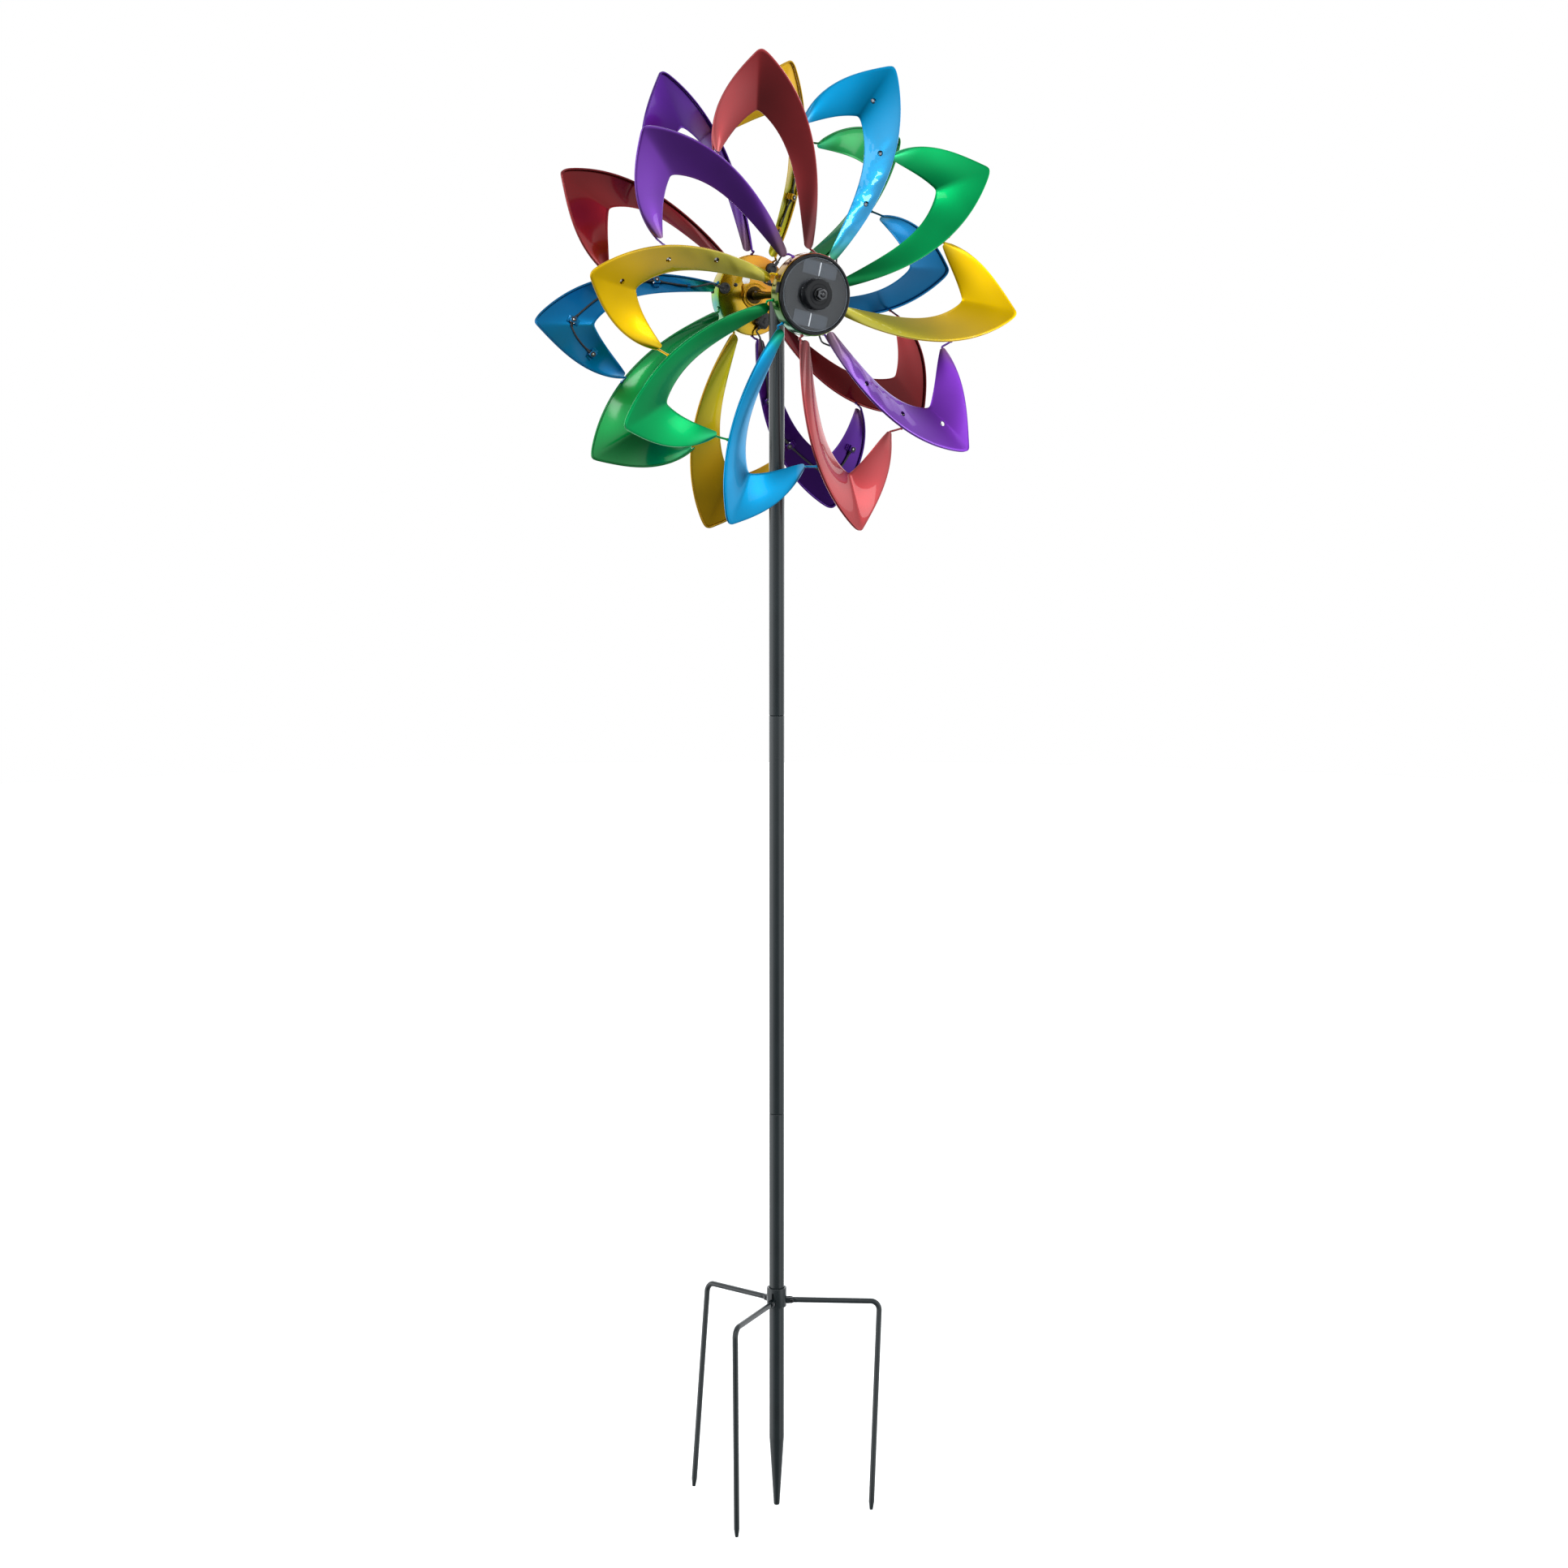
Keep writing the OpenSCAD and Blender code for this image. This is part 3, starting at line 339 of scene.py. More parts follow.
def clocked(p, angle, radius=0.0):
    """Moves points drawn on the hub's axis outwards by radius and clockwise by angle, seen from the front."""
    a = math.radians(angle)
    x, y = p[..., 0], p[..., 1] + radius
    return pack(x * math.cos(a) + y * math.sin(a), y * math.cos(a) - x * math.sin(a), p[..., 2])


def on_axis(p):
    """Hub points (x, y, w) in the rotor's frame."""
    return pack(p[..., 0], -p[..., 2], p[..., 1])


def polar(r, a, w):
    """A point of a rotor from its radius, its clockwise angle in degrees and its height w."""
    a = np.radians(a)
    return pack(r * np.sin(a), -w, r * np.cos(a))


def turned(p, angle):
    """Turns rotor points clockwise by angle."""
    a = math.radians(angle)
    x, z = p[..., 0], p[..., 2]
    return pack(x * math.cos(a) + z * math.sin(a), p[..., 1], z * math.cos(a) - x * math.sin(a))


def at_rotor(p, side):
    """Rotor points in the row's frame. The rear rotor is the front one's mirror image."""
    hubs, stand = in_mm("hubs"), in_mm("stand")
    if side == "front":
        return p + [0, -hubs.front_distance, stand.axle_height]
    return p * [1, -1, 1] + [0, hubs.rear_distance, stand.axle_height]


def on_rotor(parts, side, angle=0.0):
    return [moved(part, lambda p: at_rotor(turned(p, angle), side)) for part in parts]


def on_hub(parts, side, angle=0.0, radius=0.0):
    return [moved(part, lambda p: at_rotor(on_axis(clocked(p, angle, radius)), side)) for part in parts]


# ---- blades ----

SIDES = ("front", "rear")
# Clockwise colours of the blades, the angle of the first and from each to the next.
COLOURS = {
    "front": ["red", "blue", "green", "yellow", "purple"] * 2,
    "rear": ["yellow", "green", "blue", "red", "purple"] * 2,
}
PHASE = {"front": -9.75, "rear": 15.6}
STEP = 36
LIT = {"front": [1, 4, 8], "rear": [0, 4, 7]}
# Front blades whose sheet was dented by the drilling and by handling.
HANDLED = [1, 3, 4, 8]
# Places of the lamps on a blade, as u and f, and the clock angle and w of the root's two corners.
LAMPS = [(0.63, 0.6), (0.32, 0.5), (0.01, 0.37), (-0.48, 0.45)]
LAMP_COUNT = {"front": 3, "rear": 4}
ROOT_OUT = (18.2, -11.0)
ROOT_IN = (6.8, -9.2)


def bezier(p, q, r, s, t):
    """A cubic curve from p to s, drawn towards q and r."""
    return (1 - t) ** 3 * p + 3 * (1 - t) ** 2 * t * q + 3 * (1 - t) * t * t * r + t**3 * s


def raw_outer(u):
    """The outer edge. u runs from -1, the short limb's end, through 0, the fold, to 1, the root."""
    s = in_mm("blades")
    tip, root = s.tip_radius, s.root_radius
    t = np.abs(u)
    short = polar(bezier(tip, tip - 26, tip - 42, 221, t), blend(-3.6, -26.0, t),
                  bezier(5.0, -11.0, -15.6, -16.2, t))
    long = polar(blend(tip, root, t), bezier(-3.6, 8.2, 13.7, ROOT_OUT[0], t),
                 bezier(5.0, 13.1, 5.4, ROOT_OUT[1], t))
    return np.where(u[..., None] < 0, short, long)


def raw_inner(u):
    """The inner edge, at the same stations."""
    s = in_mm("blades")
    notch, root = s.notch_radius, s.root_radius
    t = np.abs(u)
    short = polar(bezier(notch, notch - 6, notch - 20, 211, t), blend(-6.4, -26.0, t),
                  bezier(-17.0, -21.0, -20.1, -12.4, t))
    long = polar(blend(notch, root, t), bezier(-6.4, 4.9, 3.0, ROOT_IN[0], t),
                 bezier(-17.0, -8.8, -9.8, ROOT_IN[1], t))
    return np.where(u[..., None] < 0, short, long)


def eased(edge, u, reach=0.055):
    """An edge with its corner at the fold rounded: the weighted mean of nearby stations."""
    shifts = np.linspace(-reach, reach, 9)
    weights = np.cos(np.linspace(-1.2, 1.2, 9)) ** 2
    return np.tensordot(weights / weights.sum(), np.stack([edge(u + d) for d in shifts]), 1)


def outer(u):
    return eased(raw_outer, np.asarray(u, float))


def inner(u):
    return eased(raw_inner, np.asarray(u, float))


def along(u):
    u = np.clip(np.asarray(u, float), -0.999, 0.999)
    middle = lambda v: (outer(v) + inner(v)) / 2
    return unit(middle(u + 0.004) - middle(u - 0.004))


def across(u):
    return unit(outer(u) - inner(u))


def facing(u):
    """The direction that the sheet's front faces, square to both its length and its width."""
    return unit(np.cross(along(u), across(u)))


def sheet_point(u, f):
    """The sheet's middle surface: inner + f (outer - inner) + facing crown (1 - (2f - 1)^2)."""
    u, f = np.broadcast_arrays(np.asarray(u, float), np.asarray(f, float))
    crown = in_mm("blades").crown
    return blend(inner(u), outer(u), f[..., None]) + facing(u) * (crown * (1 - (2 * f - 1) ** 2))[..., None]


def narrowing(u):
    """How much of its width the sheet keeps near its two rounded ends."""
    e = np.maximum(np.where(u < 0, (-u - 0.95) / 0.05, (u - 0.97) / 0.03), 0)
    return np.sqrt(np.maximum(0.03, 1 - e**2))


# Place, as u and f, and depth of each dent of the drilling.
DENTS = [(0.90, 0.4, 0.35), (0.84, 0.7, -0.3), (0.77, 0.3, 0.4), (0.71, 0.6, -0.35), (0.63, 0.6, 0.45),
         (0.57, 0.3, -0.3), (0.50, 0.7, 0.25), (0.43, 0.4, -0.25), (0.32, 0.5, 0.3), (0.01, 0.37, 0.2)]


def dented(u, f):
    """How far drilling pushed the sheet, in mm: the sum of a exp(-((u - v) / 0.03)^2 - ((f - g) / 0.3)^2)
    over its dents (v, g, a)."""
    return sum(a * np.exp(-(((u - v) / 0.03) ** 2) - ((f - g) / 0.3) ** 2) for v, g, a in DENTS)


def sheet_shell(drilled=False):
    """The sheet as a closed shell. Each section runs along the front and back along the back, half a
    thickness off the middle surface, with a half-round edge on both sides."""
    s = in_mm("blades")
    half = s.sheet / 2
    ease = lambda n: 0.5 - 0.5 * np.cos(np.linspace(0, np.pi, n))
    middle = blend(-0.94, 0.94, np.linspace(0, 1, 130))
    u = np.concatenate([-1 + 0.06 * ease(10)[:-1], middle[:-1], 0.94 + 0.06 * ease(12)])
    f = np.linspace(0, 1, 19)
    bend = np.linspace(-np.pi / 2, np.pi / 2, 5)[1:-1]
    share = np.concatenate([f, np.ones(3), f[::-1], np.zeros(3)])
    out = np.concatenate([0 * f, np.cos(bend), 0 * f, -np.cos(bend)]) * half
    lift = np.concatenate([0 * f + 1, -np.sin(bend), 0 * f - 1, np.sin(bend)]) * half
    U, F = np.meshgrid(u, share, indexing="ij")
    F2 = 0.5 + (F - 0.5) * narrowing(U)
    rise = lift[None, :] + (dented(U, F2) if drilled else 0)
    P = sheet_point(U, F2) + across(U) * out[None, :, None] + facing(U) * rise[..., None]
    return grid(P, uv=pack((U + 1) / 2, F2))


def lamp_frame(lamp):
    """Origin on the sheet's back and axes of a lamp: x along the blade, z away from the back."""
    u, f = np.array([lamp[0]]), lamp[1]
    z = -facing(u)[0]
    x = unit(along(u)[0] - z * (along(u)[0] @ z))
    half = in_mm("blades").sheet / 2
    return sheet_point(u, f)[0] + z * half, np.stack([x, np.cross(z, x), z])


def at_lamp(part, lamp, lift=0.0):
    origin, axes = lamp_frame(lamp)
    return moved(part, lambda p: (p + [0, 0, lift]) @ axes + origin)


class WINDMILL_OT_blades(bpy.types.Operator):
    """Makes the twenty lacquered blades, with holes for the lamps"""

    bl_idname = "windmill.blades"
    bl_label = "Blades"

    def execute(self, context):
        plain, drilled = sheet_shell(), sheet_shell(True)
        hole = in_mm("lamps").hole_diameter / 2
        drill = revolve([(hole, -6), (hole, 6)], 40)
        for side, names in COLOURS.items():
            for k, name in enumerate(names):
                angle = PHASE[side] + STEP * k
                shell = drilled if k in LIT[side] else plain
                finish = f"{name}_dented" if side == "front" and k in HANDLED else f"{name}_{side}"
                obj = piece(
                    f"{side}_sheet_{k + 1:02d}", on_rotor([shell], side, angle), [finish],
                    side + "_rotor", [f"{side}_blade_{k + 1:02d}"],
                )
                if k in LIT[side]:
                    drills = [at_lamp(drill, lamp) for lamp in LAMPS[: LAMP_COUNT[side]]]
                    carve(obj, on_rotor(drills, side, angle))
        return {"FINISHED"}


# ---- edge rods ----

# How far the rod lies inside the edge, and the station where the next blade's link meets it.
ROD_INSET = 1.4
LINK_STATION = 0.37


def rod_lift():
    s = in_mm("blades")
    return s.sheet / 2 + s.rod_diameter / 2 + 0.2


def rod_point(u):
    """The rod's middle: the outer edge, drawn in a little and lifted off the sheet's back."""
    return outer(u) - across(u) * ROD_INSET - facing(u) * rod_lift()


def rod_path():
    """From the next blade's rod over the link to the short limb, along the outer edge, to the drum."""
    s, drum = in_mm("blades"), in_mm("hubs").drum_diameter / 2
    target = turned(rod_point(np.array([LINK_STATION]))[0], -STEP)
    end, before = rod_point(np.array([-1.0, -0.95]))
    leave = end + unit(end - before) * 4
    meet = target + unit(leave - target) * (s.rod_diameter + 0.2)
    root = np.stack([
        polar(drum + 4.2, ROOT_OUT[0] + 1.2, ROOT_OUT[1] - 1.2),
        polar(drum + 2.4, ROOT_OUT[0] + 1.8, -8.0),
        polar(drum + 0.2, ROOT_OUT[0] + 2.0, -5.0),
    ])
    start = spline([meet, blend(meet, leave, 0.5), leave, rod_point(np.array([-1.0]))[0]], 5)[:-1]
    finish = spline(np.concatenate([rod_point(np.array([0.985, 1.0])), root]), 5)[5:]
    return np.concatenate([start, rod_point(np.linspace(-1, 1, 150)), finish[1:]])


class WINDMILL_OT_edge_rods(bpy.types.Operator):
    """Makes the lacquered rods behind the blades' outer edges, with their links and tack welds"""

    bl_idname = "windmill.edge_rods"
    bl_label = "Edge rods"

    def execute(self, context):
        s = in_mm("blades")
        path = rod_path()
        radius = s.rod_diameter / 2
        rod = tube(path, radius, 12)
        run = np.linalg.norm(np.diff(path, axis=0), axis=1).sum()
        stations = np.linspace(-0.92, 0.97, int(run / (s.weld_spacing)))
        beads = [
            blob(
                outer(v)[0] - across(v)[0] * (1.9 + 0.3 * math.sin(9 * i)) - facing(v)[0] * 0.95,
                (2.2 + 0.5 * math.sin(5 * i), 0.9, 0.5),
                np.stack([along(v)[0], across(v)[0], facing(v)[0]]),
                8,
            )
            for i, v in enumerate(stations[:, None])
        ]
        hub_weld = blob(path[-1] + unit(path[-1] - path[-2]) * 0.1, (2.4, 2.0, 2.4), None, 10)
        link_weld = blob(path[0], (2.1, 1.9, 2.1), None, 10)
        palette = sorted(set(COLOURS["front"]))
        for side, names in COLOURS.items():
            parts = []
            for k, name in enumerate(names):
                own = [{**p, "material": palette.index(name)} for p in [rod, hub_weld, link_weld] + beads]
                parts += on_rotor(own, side, PHASE[side] + STEP * k)
            piece(
                side + "_rods", parts, [f"{n}_rod_{side}" for n in palette], side + "_rotor",
                [side + "_edge_rods"],
            )
        return {"FINISHED"}


# ---- hubs ----

SCREWS = [-63, 54, 178]
GLANDS = {"front": [50, 158, 284], "rear": [38, 282]}
BOXES = {"front": (200, -38), "rear": (158, 58)}
GLAND_RADIUS = 43.0
SCREW_RADIUS = 29
LOBES = (-50, 70, 190)
# A switch box's distance from the axis, and its nose's reach.
BOX_RADIUS = 34.5
BOX_NOSE = 14.3


def layers():
    """Distances w of the hub's parts, all from the drum's depth."""
    half = in_mm("hubs").drum_depth / 2
    return {
        "plate": -half, "rim": half + 4.5, "boss": half + 14, "cell": half + 1.7,
        "cover": half + 2.7, "tube_back": -half - 3.4, "tube_front": half + 12.9,
        "washer": half + 14.4, "nut": half + 15.9,
    }


def rolled_edge(r, w, radius):
    """A ring of round section."""
    t = circle(14)
    return revolve(pack(r + radius * np.cos(t), w + radius * np.sin(t)), 128, ring=True)


def drum_parts(side):
    """A pressed drum: a flat plate, a wall with a rolled rim, and round corners between them."""
    h = in_mm("hubs")
    r, half = h.drum_diameter / 2, h.drum_depth / 2
    drum = hoop(
        [(13.2, -half), (r - 0.6, -half), (r, -half + 0.6), (r, half), (r - 1.2, half),
         (r - 1.2, -half + 1.2), (13.2, -half + 1.2)], 0.55, 5, 128,
    )
    rim, bead = rolled_edge(r - 0.75, half - 0.7, 0.85), rolled_edge(r - 0.3, -half + 1.6, 0.7)
    return on_hub([drum, rim, bead], side)


def flange_parts(side):
    """The bearing tube with its lobed flange: r = 16.5 + 4.1 exp(-((a - lobe) / 15.5)^2) round the axis."""
    w = layers()
    plate = w["plate"]
    t = circle(144)
    clock = np.degrees(np.pi / 2 - t)
    off = np.stack([(clock - lobe + 180) % 360 - 180 for lobe in LOBES])
    edge = 16.5 + 4.1 * np.exp(-((off / 15.5) ** 2)).sum(0)
    rows = rounded([(12.9, 0.0), (0.0, 0.0), (0.0, -1.5), (12.9, -1.5)], 0.5, 4)
    R = np.where(rows[:, :1] > 6, 12.9, edge[None, :] - 0.5 * (np.abs(rows[:, 1:] + 0.75) > 0.7))
    flange = grid(pack(R * np.cos(t), R * np.sin(t), plate - 0.05 + rows[:, 1:]))
    back, front = w["tube_back"], w["tube_front"]
    body = hoop([(11.05, back), (13, back), (13, front), (11.05, front)], 0.5)
    collar = hoop([(12.6, plate - 1.4), (14.4, plate - 1.4), (13.6, plate - 2.6), (12.6, plate - 2.6)], 0.4)
    return on_hub([flange, body, collar], side)


def screw_parts(side):
    """Pan-head screws with a cross recess."""
    w = layers()["plate"]
    head = revolve(rounded([(AXIS, w - 1.5), (1.5, w - 1.6), (2.6, w - 0.9), (2.6, w), (AXIS, w)], 0.5), 32)
    shank = revolve([(AXIS, w - 0.2), (1.3, w - 0.2), (1.3, w + 8.5), (AXIS, w + 8.9)], 24)
    recess = blob((0, 0, 0), (1.4, 0.32, 0.35), None, 12, 0.35, 1)
    slots = [moved(recess, lambda p, q=q: clocked(p, q) + [0, 0, w - 1.5]) for q in (20, 110)]
    return [x for a in SCREWS for x in on_hub([head, shank] + slots, side, a, SCREW_RADIUS)]


def ribbed_nose(start, end, w, rows, rib):
    """A short tube outwards from the hub with three ribs, r = 2.1 + rib cos t."""
    y = np.linspace(start, end, rows)
    radius = 2.1 + rib * np.cos(np.linspace(0, 6 * np.pi, rows))
    return tube(pack(0, y, w), radius, 20, side=(0, 0, 1))


def gland_parts():
    """A moulded round gland with a stepped dome, and the nose that its cable leaves by."""
    s = in_mm("lamps")
    r, w = s.gland_diameter / 2, layers()["plate"]
    dome = rounded(
        [(AXIS, w - 4.4), (r - 4.2, w - 4.4), (r - 3.6, w - 5.6), (r - 2.2, w - 5.4), (r - 0.8, w - 3.6),
         (r, w - 2.2), (r, w), (AXIS, w)], 0.6,
    )
    return [revolve(dome, 64), ribbed_nose(r - 4, r + 4, w - 4.5, 14, 0.22)]


def box_parts():
    """A soft-edged moulded switch box with a rocker, its frame and a nose: lumps with their sines raised to
    0.28, 0.4 and 0.3."""
    w = layers()["plate"]
    box = blob((0, 0, w - 5), (8, 10, 5.05), None, 40, 0.28)
    rocker = blob((0, 1, w - 10.1), (2.1, 3.6, 1.2), None, 24, 0.4)
    frame_line = blob((0, 1, w - 9.95), (2.9, 4.4, 0.4), None, 24, 0.3)
    return [box, rocker, frame_line, ribbed_nose(8, 13.8, w - 5, 12, 0.2)]


class WINDMILL_OT_hubs(bpy.types.Operator):
    """Makes the drums, bearing tubes, screws, cable glands and switch boxes"""

    bl_idname = "windmill.hubs"
    bl_label = "Hubs"

    def execute(self, context):
        w = layers()
        for side in SIDES:
            rotor = side + "_rotor"
            piece(side + "_drum", drum_parts(side), [side + "_drum"], rotor,
                  [side + "_hub_drum"])
            piece(side + "_flange", flange_parts(side), [side + "_drum"], rotor,
                  [side + "_bearing_tube"])
            piece(side + "_screws", screw_parts(side), ["black_steel", "recess"], rotor,
                  [side + "_hub_screws"])
            parts = [x for a in GLANDS[side] for x in on_hub(gland_parts(), side, a, GLAND_RADIUS)]
            at, more = BOXES[side]
            parts += on_hub([moved(p, lambda q: clocked(q, more)) for p in box_parts()], side, at, BOX_RADIUS)
            piece(side + "_outlets", parts, ["soft_plastic"], rotor,
                  [side + "_cable_outlets"])
        low, high = w["plate"] - 0.25, w["plate"] + 0.02
        disc = revolve(rounded([(AXIS, low), (5.6, low), (5.6, high), (AXIS, high)], 0.1), 48)
        piece("rear_disc", on_hub([disc], "rear", -29, 22.0), ["paper"], "rear_rotor")
        return {"FINISHED"}


# ---- solar units ----

# The cells' clock angle and their distance from the axis.
CELL_CLOCK = 13
CELL_RADIUS = 32


class WINDMILL_OT_solar_units(bpy.types.Operator):
    """Makes the moulded housings, the solar cells and their clear covers"""

    bl_idname = "windmill.solar_units"
    bl_label = "Solar units"

    def execute(self, context):
        h, w = in_mm("hubs"), layers()
        r, boss = h.drum_diameter / 2 - 1.5, h.boss_diameter / 2
        plate, rim, cell, cover, top = (w[key] for key in ("plate", "rim", "cell", "cover", "boss"))
        housing = hoop(
            [(r - 1.6, plate + 1.5), (r, plate + 1.5), (r, rim - 0.9), (r - 0.9, rim), (r - 3.0, rim),
             (r - 3.6, rim - 0.7), (r - 3.6, cell), (boss + 0.2, cell), (boss, cell + 0.2), (boss, top - 0.9),
             (boss - 0.9, top), (8.9, top), (6.6, top - 0.5), (6.6, top - 0.8), (13.3, top - 0.8),
             (13.3, cell - 1.5), (r - 1.6, cell - 1.5)], 0.6, 5, 128,
        )
        # A thin ridge near the cover's rim, in a pale finish: a painted highlight along its edge.
        ridge = hoop([(r - 5.0, cover + 0.9), (r - 4.6, cover + 1.25), (r - 4.2, cover + 0.9),
                      (r - 4.6, cover + 0.8)], 0.15, 3, 128, 1)
        lug = blob((0, 48.3, 6.9), (7, 4.1, 2.9), None, 30, 0.22)
        boss_line = hoop([(12.4, top + 0.05), (13.0, top + 0.25), (13.6, top + 0.05), (13.0, top - 0.3)],
                         0.15, 3)
        sheet = hoop([(boss + 0.3, cover), (r - 3.9, cover), (r - 3.9, cover + 1), (boss + 0.3, cover + 1)],
                     0.25, 4, 128)
        width, height = h.cell_width, h.cell_height
        shells = [
            blob((sign * (width + 2.6) / 2, 0, cell + 0.5), (width / 2, height / 2, 0.45), None, 32, 0.06)
            for sign in (-1, 1)
        ]
        bar = blob((0, 0, cell + 0.6), (0.85, 8.6, 0.42), None, 16, 0.2, 1)
        clocks = (CELL_CLOCK, CELL_CLOCK + 180)
        for side in SIDES:
            rotor = side + "_rotor"
            parts = on_hub([housing, boss_line, ridge], side) + on_hub([lug], side, -80)
            piece(side + "_housing", parts, ["housing", "worn_ridge"], rotor,
                  [side + "_solar_housing"])
            cells = [x for a in clocks for x in on_hub(shells, side, a, CELL_RADIUS)]
            bars = [x for a in clocks for x in on_hub([bar], side, a, CELL_RADIUS)]
            piece(side + "_cells", cells + bars, ["solar_cell", "white_strip"], rotor,
                  [side + "_solar_cells"])
            piece(side + "_window", on_hub([sheet], side), ["clear_cover"], rotor,
                  [side + "_solar_cover"])
        return {"FINISHED"}


# ---- lamps ----

# Station where the cable comes on to the blade, and how far brackets and lamps stand off the sheet.
CABLE_START = 0.86
LAMP_LIFT = 0.55


def bracket_parts():
    """A bent strip bridge: a rounded profile in y and z, carried 8 mm along x."""
    s = in_mm("lamps")
    h = s.bracket_height
    profile = rounded(
        [(-7.8, 0.1), (-3.6, 0.1), (-3.6, h - 0.9), (3.6, h - 0.9), (3.6, 0.1), (7.8, 0.1), (7.8, 0.9),
         (4.5, 0.9), (4.5, h), (-4.5, h), (-4.5, 0.9), (-7.8, 0.9)], 0.7, 5, ring=True,
    )
    x = np.array([-4.0, -3.85, 3.85, 4.0])[:, None]
    shrink = np.array([0.97, 1, 1, 0.97])[:, None]
    middle = profile.mean(0)
    q = middle + (profile[None] - middle) * shrink[..., None]
    return [grid(pack(x, q[..., 0], q[..., 1]))]


def lamp_parts():
    """A clear moulded lamp with a domed end, the rubber ring on its bracket and the bright foot inside."""
    s = in_mm("lamps")
    r, h = s.lamp_diameter / 2, s.bracket_height
    dome = np.linspace(0.02, np.pi / 2, 9)
    lens = np.concatenate([
        pack(r * np.sin(dome), 0.6 + r - r * np.cos(dome)), [(r, h - 0.2), (r - 0.5, h), (AXIS, h)],
    ])
    ring = hoop([(1.5, h + 0.02), (r + 0.8, h + 0.02), (r + 0.8, h + 1.1), (1.9, h + 1.5)], 0.35, 4, 28, 1)
    foot = rounded([(AXIS, h - 0.1), (1.55, h - 0.1), (1.4, h + 0.8), (AXIS, h + 1.0)], 0.3)
    return [revolve(lens, 28), ring, revolve(foot, 20, material=2)]


def cable_share(u):
    """Where the cable lies between the inner edge, 0, and the outer edge, 1: through the lamps' brackets,
    with a slack bow between them."""
    stations = [lamp[0] for lamp in LAMPS[::-1]] + [CABLE_START]
    straight = np.interp(u, stations, [lamp[1] for lamp in LAMPS[::-1]] + [0.35])
    return straight + 0.05 * np.sin(np.interp(u, stations, np.pi * np.arange(len(stations))))


def cable_point(u):
    """The cable's middle on the sheet's back. It climbs into each bracket."""
    lift = in_mm("blades").sheet / 2 + in_mm("lamps").cable_diameter / 2 + 0.3
    u = np.asarray(u, float)
    climb = sum(1.6 * np.exp(-(((u - v) / (0.03 if v > -0.1 else 0.07)) ** 2)) for v, _ in LAMPS)
    return sheet_point(u, cable_share(u)) - facing(u) * (lift + climb)[..., None]


def cable_path(exit_at, last):
    """From its gland, behind the edge rod, on to the blade's back and along it to the last lamp."""
    angle, radius, w, aim_angle = exit_at
    start, aim = polar(radius, angle, w), polar(1.0, aim_angle, 0.0)
    over = polar(radius + 13, (angle + 15) / 2, -18.5)
    join = cable_point(np.array([CABLE_START]))[0] + [0, 1.6, 0]
    u = np.append(np.arange(0.8, last, -0.02), last)
    return spline(np.concatenate([[start, start + aim * 4, over, join], cable_point(u)]), 5)


def boot_parts(path, lamp, last):
    """Ribbed rubber sleeves round the cable where it enters and leaves a bracket."""
    origin = cable_point(np.array([lamp[0]]))[0]
    run = np.concatenate([[0], np.cumsum(np.linalg.norm(np.diff(path, axis=0), axis=1))])
    middle = run[np.argmin(np.linalg.norm(path - origin, axis=1))]
    out = []
    for sign in (-1, 1):
        if sign > 0 and last:
            continue
        s = middle + sign * np.linspace(3.2, 9.5, 16)
        line = np.stack([np.interp(s, run, path[:, i]) for i in range(3)], -1)
        out.append(tube(line, np.linspace(2.1, 1.45, 16) + 0.22 * np.cos(np.linspace(0, 8 * np.pi, 16)), 14))
    return out


def cable_exits(side):
    """Clock angle, radius and w of each cable's start, and the clock angle of its aim."""
    reach, w = GLAND_RADIUS + 11.5, layers()["plate"] - 4.5
    glands = [(a, reach + 0.3, w, a) for a in GLANDS[side]]
    if side == "front":
        return glands
    at, more = BOXES["rear"]
    first, second = math.radians(at), math.radians(at + more)
    x = BOX_RADIUS * math.sin(first) + BOX_NOSE * math.sin(second)
    y = BOX_RADIUS * math.cos(first) + BOX_NOSE * math.cos(second)
    box = (math.degrees(math.atan2(x, y)), math.hypot(x, y), layers()["plate"] - 5, at + more)
    return [glands[0], box, glands[1]]


def strap_parts(u):
    """A little strap of sheet welded over the cable: a half-round bridge across it."""
    v = np.array([u])
    t = np.linspace(0, np.pi, 11)
    line = pack(-2.1 * np.cos(t), 0.2 + 2.4 * np.sin(t))
    line = np.concatenate([[(-4.2, 0.25)], line, [(4.2, 0.25)]])
    flat = np.concatenate([line + [0, 0.45], line[::-1]])
    x = np.array([-2.3, -2.2, 2.2, 2.3])[:, None]
    P = pack(x, flat[None, :, 0], flat[None, :, 1])
    axes = np.stack([along(v)[0], np.cross(-facing(v)[0], along(v)[0]), -facing(v)[0]])
    origin = cable_point(v)[0] + facing(v)[0] * 1.5
    return moved(grid(P), lambda p: p @ axes + origin)


